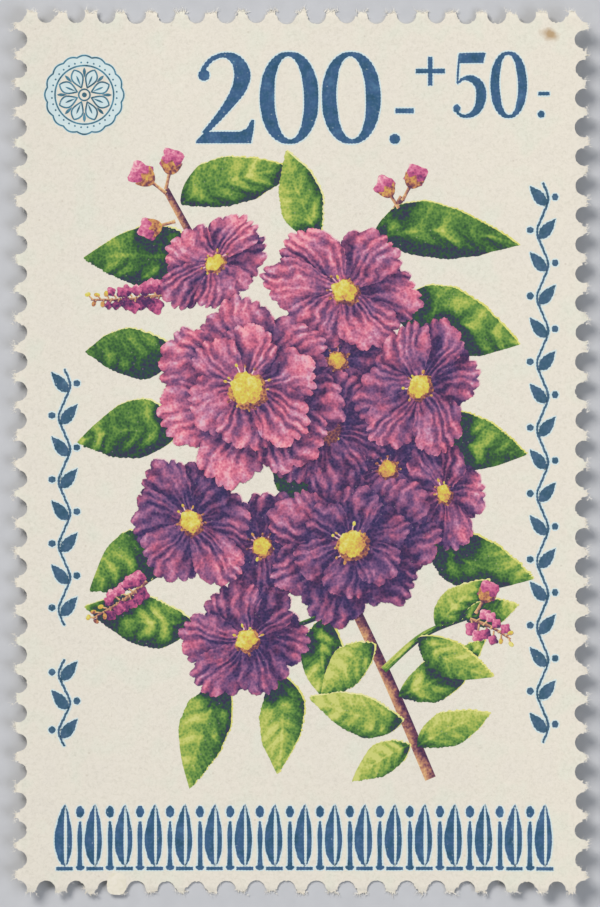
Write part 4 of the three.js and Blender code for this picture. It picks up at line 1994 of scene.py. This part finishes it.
def petal_patches(tree, painted):
    """Crepe, broad and fine noises that follow the folds. A rate says how many patches of a noise fit
    into one fold and into one millimetre along it."""
    noises = []
    for rate, settings in (
        (CREPE_RATE, {"Detail": 1.0, "Distortion": 1.2}),
        (BROAD_RATE, {"Detail": 2.0}),
        (FINE_RATE, {"Detail": 4.0, "Roughness": 0.62}),
    ):
        stretched = add_node(tree, "VectorMath", {0: painted["brush"], 1: rate}, operation="MULTIPLY")
        noises.append(add_node(tree, "TexNoise", {"Vector": stretched, "Scale": 1.0, **settings}))
    return noises


print("a crepe patch along a fold, mm:", round(1 / CREPE_RATE[1], 2))


# %% Violet and rose petals
HUE_PATCH = 0.9
PETAL_DARKNESS = -0.56
PETAL_SHADE = -0.44
PETAL_RIM = 0.34
PETAL_COLOURS = [(0.0, "#332652"), (0.12, "#482d5d"), (0.27, "#683e6d"), (0.44, "#874e7b")]
PETAL_COLOURS += [(0.6, "#ab5f88"), (0.76, "#cf769b"), (0.9, "#e094b2"), (1.0, "#eab3c6")]


def petal_ink():
    """Magenta over blue, almost matt: rose on the folds, indigo between them. Folds are deepest where the
    broad patches are dark, and patches of a faint tint lean to rose on light petals and to blue on dark."""
    material, tree, painted = begin_picture_ink("magenta_over_blue_petals")
    fold = add_node(tree, "Math", {0: painted["across"], 1: 0.5}, operation="PINGPONG")
    fold = {"Value": fold, 1: 0.05, 2: 0.48, 3: -0.5, 4: 0.5}
    fold = add_node(tree, "MapRange", fold, interpolation_type="SMOOTHSTEP")
    crepe, broad, fine = petal_patches(tree, painted)
    depth = add_node(tree, "MapRange", {"Value": broad, 1: 0.35, 2: 0.65, 3: 0.48, 4: 0.12})
    light = add_node(tree, "Math", {0: painted["light"], 1: PETAL_DARKNESS}, operation="ADD")
    for term, weight in ((fold, depth), (crepe, 0.45), (broad, 0.77), (fine, 0.6)):
        light = add_node(tree, "Math", {0: term, 1: weight, 2: light}, operation="MULTIPLY_ADD")
    hue = {"Vector": painted["place"], "Scale": 1 / HUE_PATCH, "Detail": 4.0, "Roughness": 0.7}
    hue = add_node(tree, "TexNoise", hue)
    hue = add_node(tree, "Math", {0: painted["light"], 1: 0.35, 2: hue}, operation="MULTIPLY_ADD")
    tint = add_node(tree, "ValToRGB", {"Fac": hue}, stops=[(0.38, "#deffff"), (0.66, "#ffe7df")])
    finish_picture_ink(tree, painted, light, PETAL_SHADE, PETAL_RIM, PETAL_COLOURS, tint)
    return material


films["petal"].build(petal_ink(), "stamp_paper")

# %% Veins of a leaf
VEIN_SLANT = 0.95
VEIN_WAVER = 1.1
STROKES_TO_A_VEIN = (4.0, 1.3, 0)


def leaf_veins(tree, painted, side, cloud):
    """A pale streak on each vein, and fine strokes beside it. The veins slant back from the midrib, and
    a cloud makes them waver. Side is 0 on the midrib and 1 at the edge."""
    vein = painted["seed"]
    for term, weight in ((side, -VEIN_SLANT), (painted["along"], 1.0), (cloud, VEIN_WAVER)):
        vein = add_node(tree, "Math", {0: term, 1: weight, 2: vein}, operation="MULTIPLY_ADD")
    streak = add_node(tree, "Math", {0: vein, 1: 0.5}, operation="PINGPONG")
    streak = {"Value": streak, 2: 0.5, 3: -0.1, 4: 0.22}
    streak = add_node(tree, "MapRange", streak, interpolation_type="SMOOTHSTEP")
    strokes = add_node(tree, "CombineXYZ", {"X": vein, "Y": side})
    strokes = add_node(tree, "VectorMath", {0: strokes, 1: STROKES_TO_A_VEIN}, operation="MULTIPLY")
    strokes = {"Vector": strokes, "Scale": 1.0, "Detail": 3.0, "Roughness": 0.6, "Distortion": 0.5}
    return streak, add_node(tree, "TexNoise", strokes)


print("strokes across each vein:", STROKES_TO_A_VEIN[0])


# %% Green leaves
MIDRIB_SHARE = 0.1
LEAF_CLOUD = 1.5
LEAF_PATCH_RATE = (1.1, 0.55, 1)
LEAF_DARKNESS = -0.1
LEAF_SHADE = -0.68
LEAF_RIM_LIGHT = 0.1
LEAF_COLOURS = [(0.0, "#35294b"), (0.1, "#2c3c4a"), (0.22, "#2e5231"), (0.36, "#416c35")]
LEAF_COLOURS += [(0.52, "#628b3f"), (0.67, "#8ba64b"), (0.83, "#aeb958"), (1.0, "#c7cb74")]


def leaf_ink():
    """Yellow over blue, almost matt: grass green, with yellow veins, and indigo in the shade. The veins
    fade towards the edge and in patches, and the midrib is broken too."""
    material, tree, painted = begin_picture_ink("yellow_over_blue_leaves")
    side = add_node(tree, "Math", {0: painted["across"]}, operation="ABSOLUTE")
    cloud = {"Vector": painted["place"], "Scale": 1 / LEAF_CLOUD, "Detail": 1.0}
    cloud = add_node(tree, "TexNoise", cloud)
    streak, strokes = leaf_veins(tree, painted, side, cloud)
    patch = add_node(tree, "VectorMath", {0: painted["brush"], 1: LEAF_PATCH_RATE}, operation="MULTIPLY")
    patch = add_node(tree, "TexNoise", {"Vector": patch, "Scale": 1.0, "Detail": 1.0})
    strength = add_node(tree, "MapRange", {"Value": patch, 1: 0.36, 2: 0.62, 3: 0.15, 4: 1.35})
    fade = add_node(tree, "MapRange", {"Value": side, 1: 0.4, 2: 1.0, 3: 1.0, 4: 0.15})
    strength = add_node(tree, "Math", {0: strength, 1: fade}, operation="MULTIPLY")
    midrib = add_node(tree, "MapRange", {"Value": side, 1: 0.02, 2: MIDRIB_SHARE, 3: 1.0, 4: 0.0})
    broken = add_node(tree, "MapRange", {"Value": cloud, 1: 0.38, 2: 0.62, 3: 0.0, 4: 0.24})
    light = add_node(tree, "Math", {0: painted["light"], 1: LEAF_DARKNESS}, operation="ADD")
    for term, weight in ((streak, strength), (midrib, broken), (strokes, 0.5), (patch, 0.45)):
        light = add_node(tree, "Math", {0: term, 1: weight, 2: light}, operation="MULTIPLY_ADD")
    finish_picture_ink(tree, painted, light, LEAF_SHADE, LEAF_RIM_LIGHT, LEAF_COLOURS)
    return material


films["leaf"].build(leaf_ink(), "stamp_paper")

# %% [markdown]
# ### Inks of the small parts
#
# Stems, buds, bosses and stamens are under a millimetre wide, so one recipe serves them all: the ink is
# mottled by the brush at one size and then shaded. Each row gives the size of the mottle in millimetres,
# where its lightness starts, how strongly mottle and shade change it, and its colours from dark to light.
# The yellow and the rose plate lie under the rest and show only as narrow fringes.

# %% Small parts
SMALL_PART_RIM = 0.2
SMALL_PARTS = {
    "stem": (0.22, -0.05, 0.9, -0.35, (
        (0.1, "#44284a"), (0.32, "#754757"), (0.52, "#a87463"), (0.74, "#cd9b70"), (0.95, "#dfbf88"),
    )),
    "bud": (0.26, -0.05, 1.0, -0.6, (
        (0.1, "#4b2a59"), (0.3, "#8a3f6d"), (0.5, "#bb5480"), (0.72, "#d87d9c"), (0.95, "#eec0c4"),
    )),
    "boss": (0.34, -0.12, 1.2, -0.5, (
        (0.06, "#5b3450"), (0.2, "#94584f"), (0.36, "#c78a5a"), (0.54, "#cfae52"), (0.7, "#d3c651"),
        (0.95, "#dcd583"),
    )),
    "filament": (0.3, -0.35, 0.9, -0.3, ((0.2, "#8a4a6c"), (0.5, "#cf8ba0"), (0.8, "#ead2c4"))),
    "yellow": (0.35, 0.0, 1.0, -0.1, ((0.2, "#d3cf6b"), (0.5, "#dcd982"), (0.8, "#e3dfa2"))),
}


def small_part_ink(name, mottle, start, mottle_weight, shade_weight, colours):
    """Transparent inks over one another, almost matt, in one mottled mixture."""
    material, tree, painted = begin_picture_ink(name)
    strokes = {"Vector": painted["place"], "Scale": 1 / mottle, "Detail": 3.0, "Roughness": 0.65}
    strokes = add_node(tree, "TexNoise", strokes)
    light = add_node(tree, "Math", {0: painted["light"], 1: start}, operation="ADD")
    light = add_node(tree, "Math", {0: strokes, 1: mottle_weight, 2: light}, operation="MULTIPLY_ADD")
    finish_picture_ink(tree, painted, light, shade_weight, SMALL_PART_RIM, colours)
    return material


for kind, recipe in SMALL_PARTS.items():
    films[kind].build(small_part_ink(PIECE_NAMES[kind] + "_ink", *recipe), "stamp_paper")
rose_ink = single_ink_material("rose_gravure_ink", [(0.36, "#dcaeb7"), (0.66, "#e3c4c6")], 0.0)
rose_plate.build(rose_ink, "stamp_paper")
halo_plate.build(halo_ink, "stamp_paper")
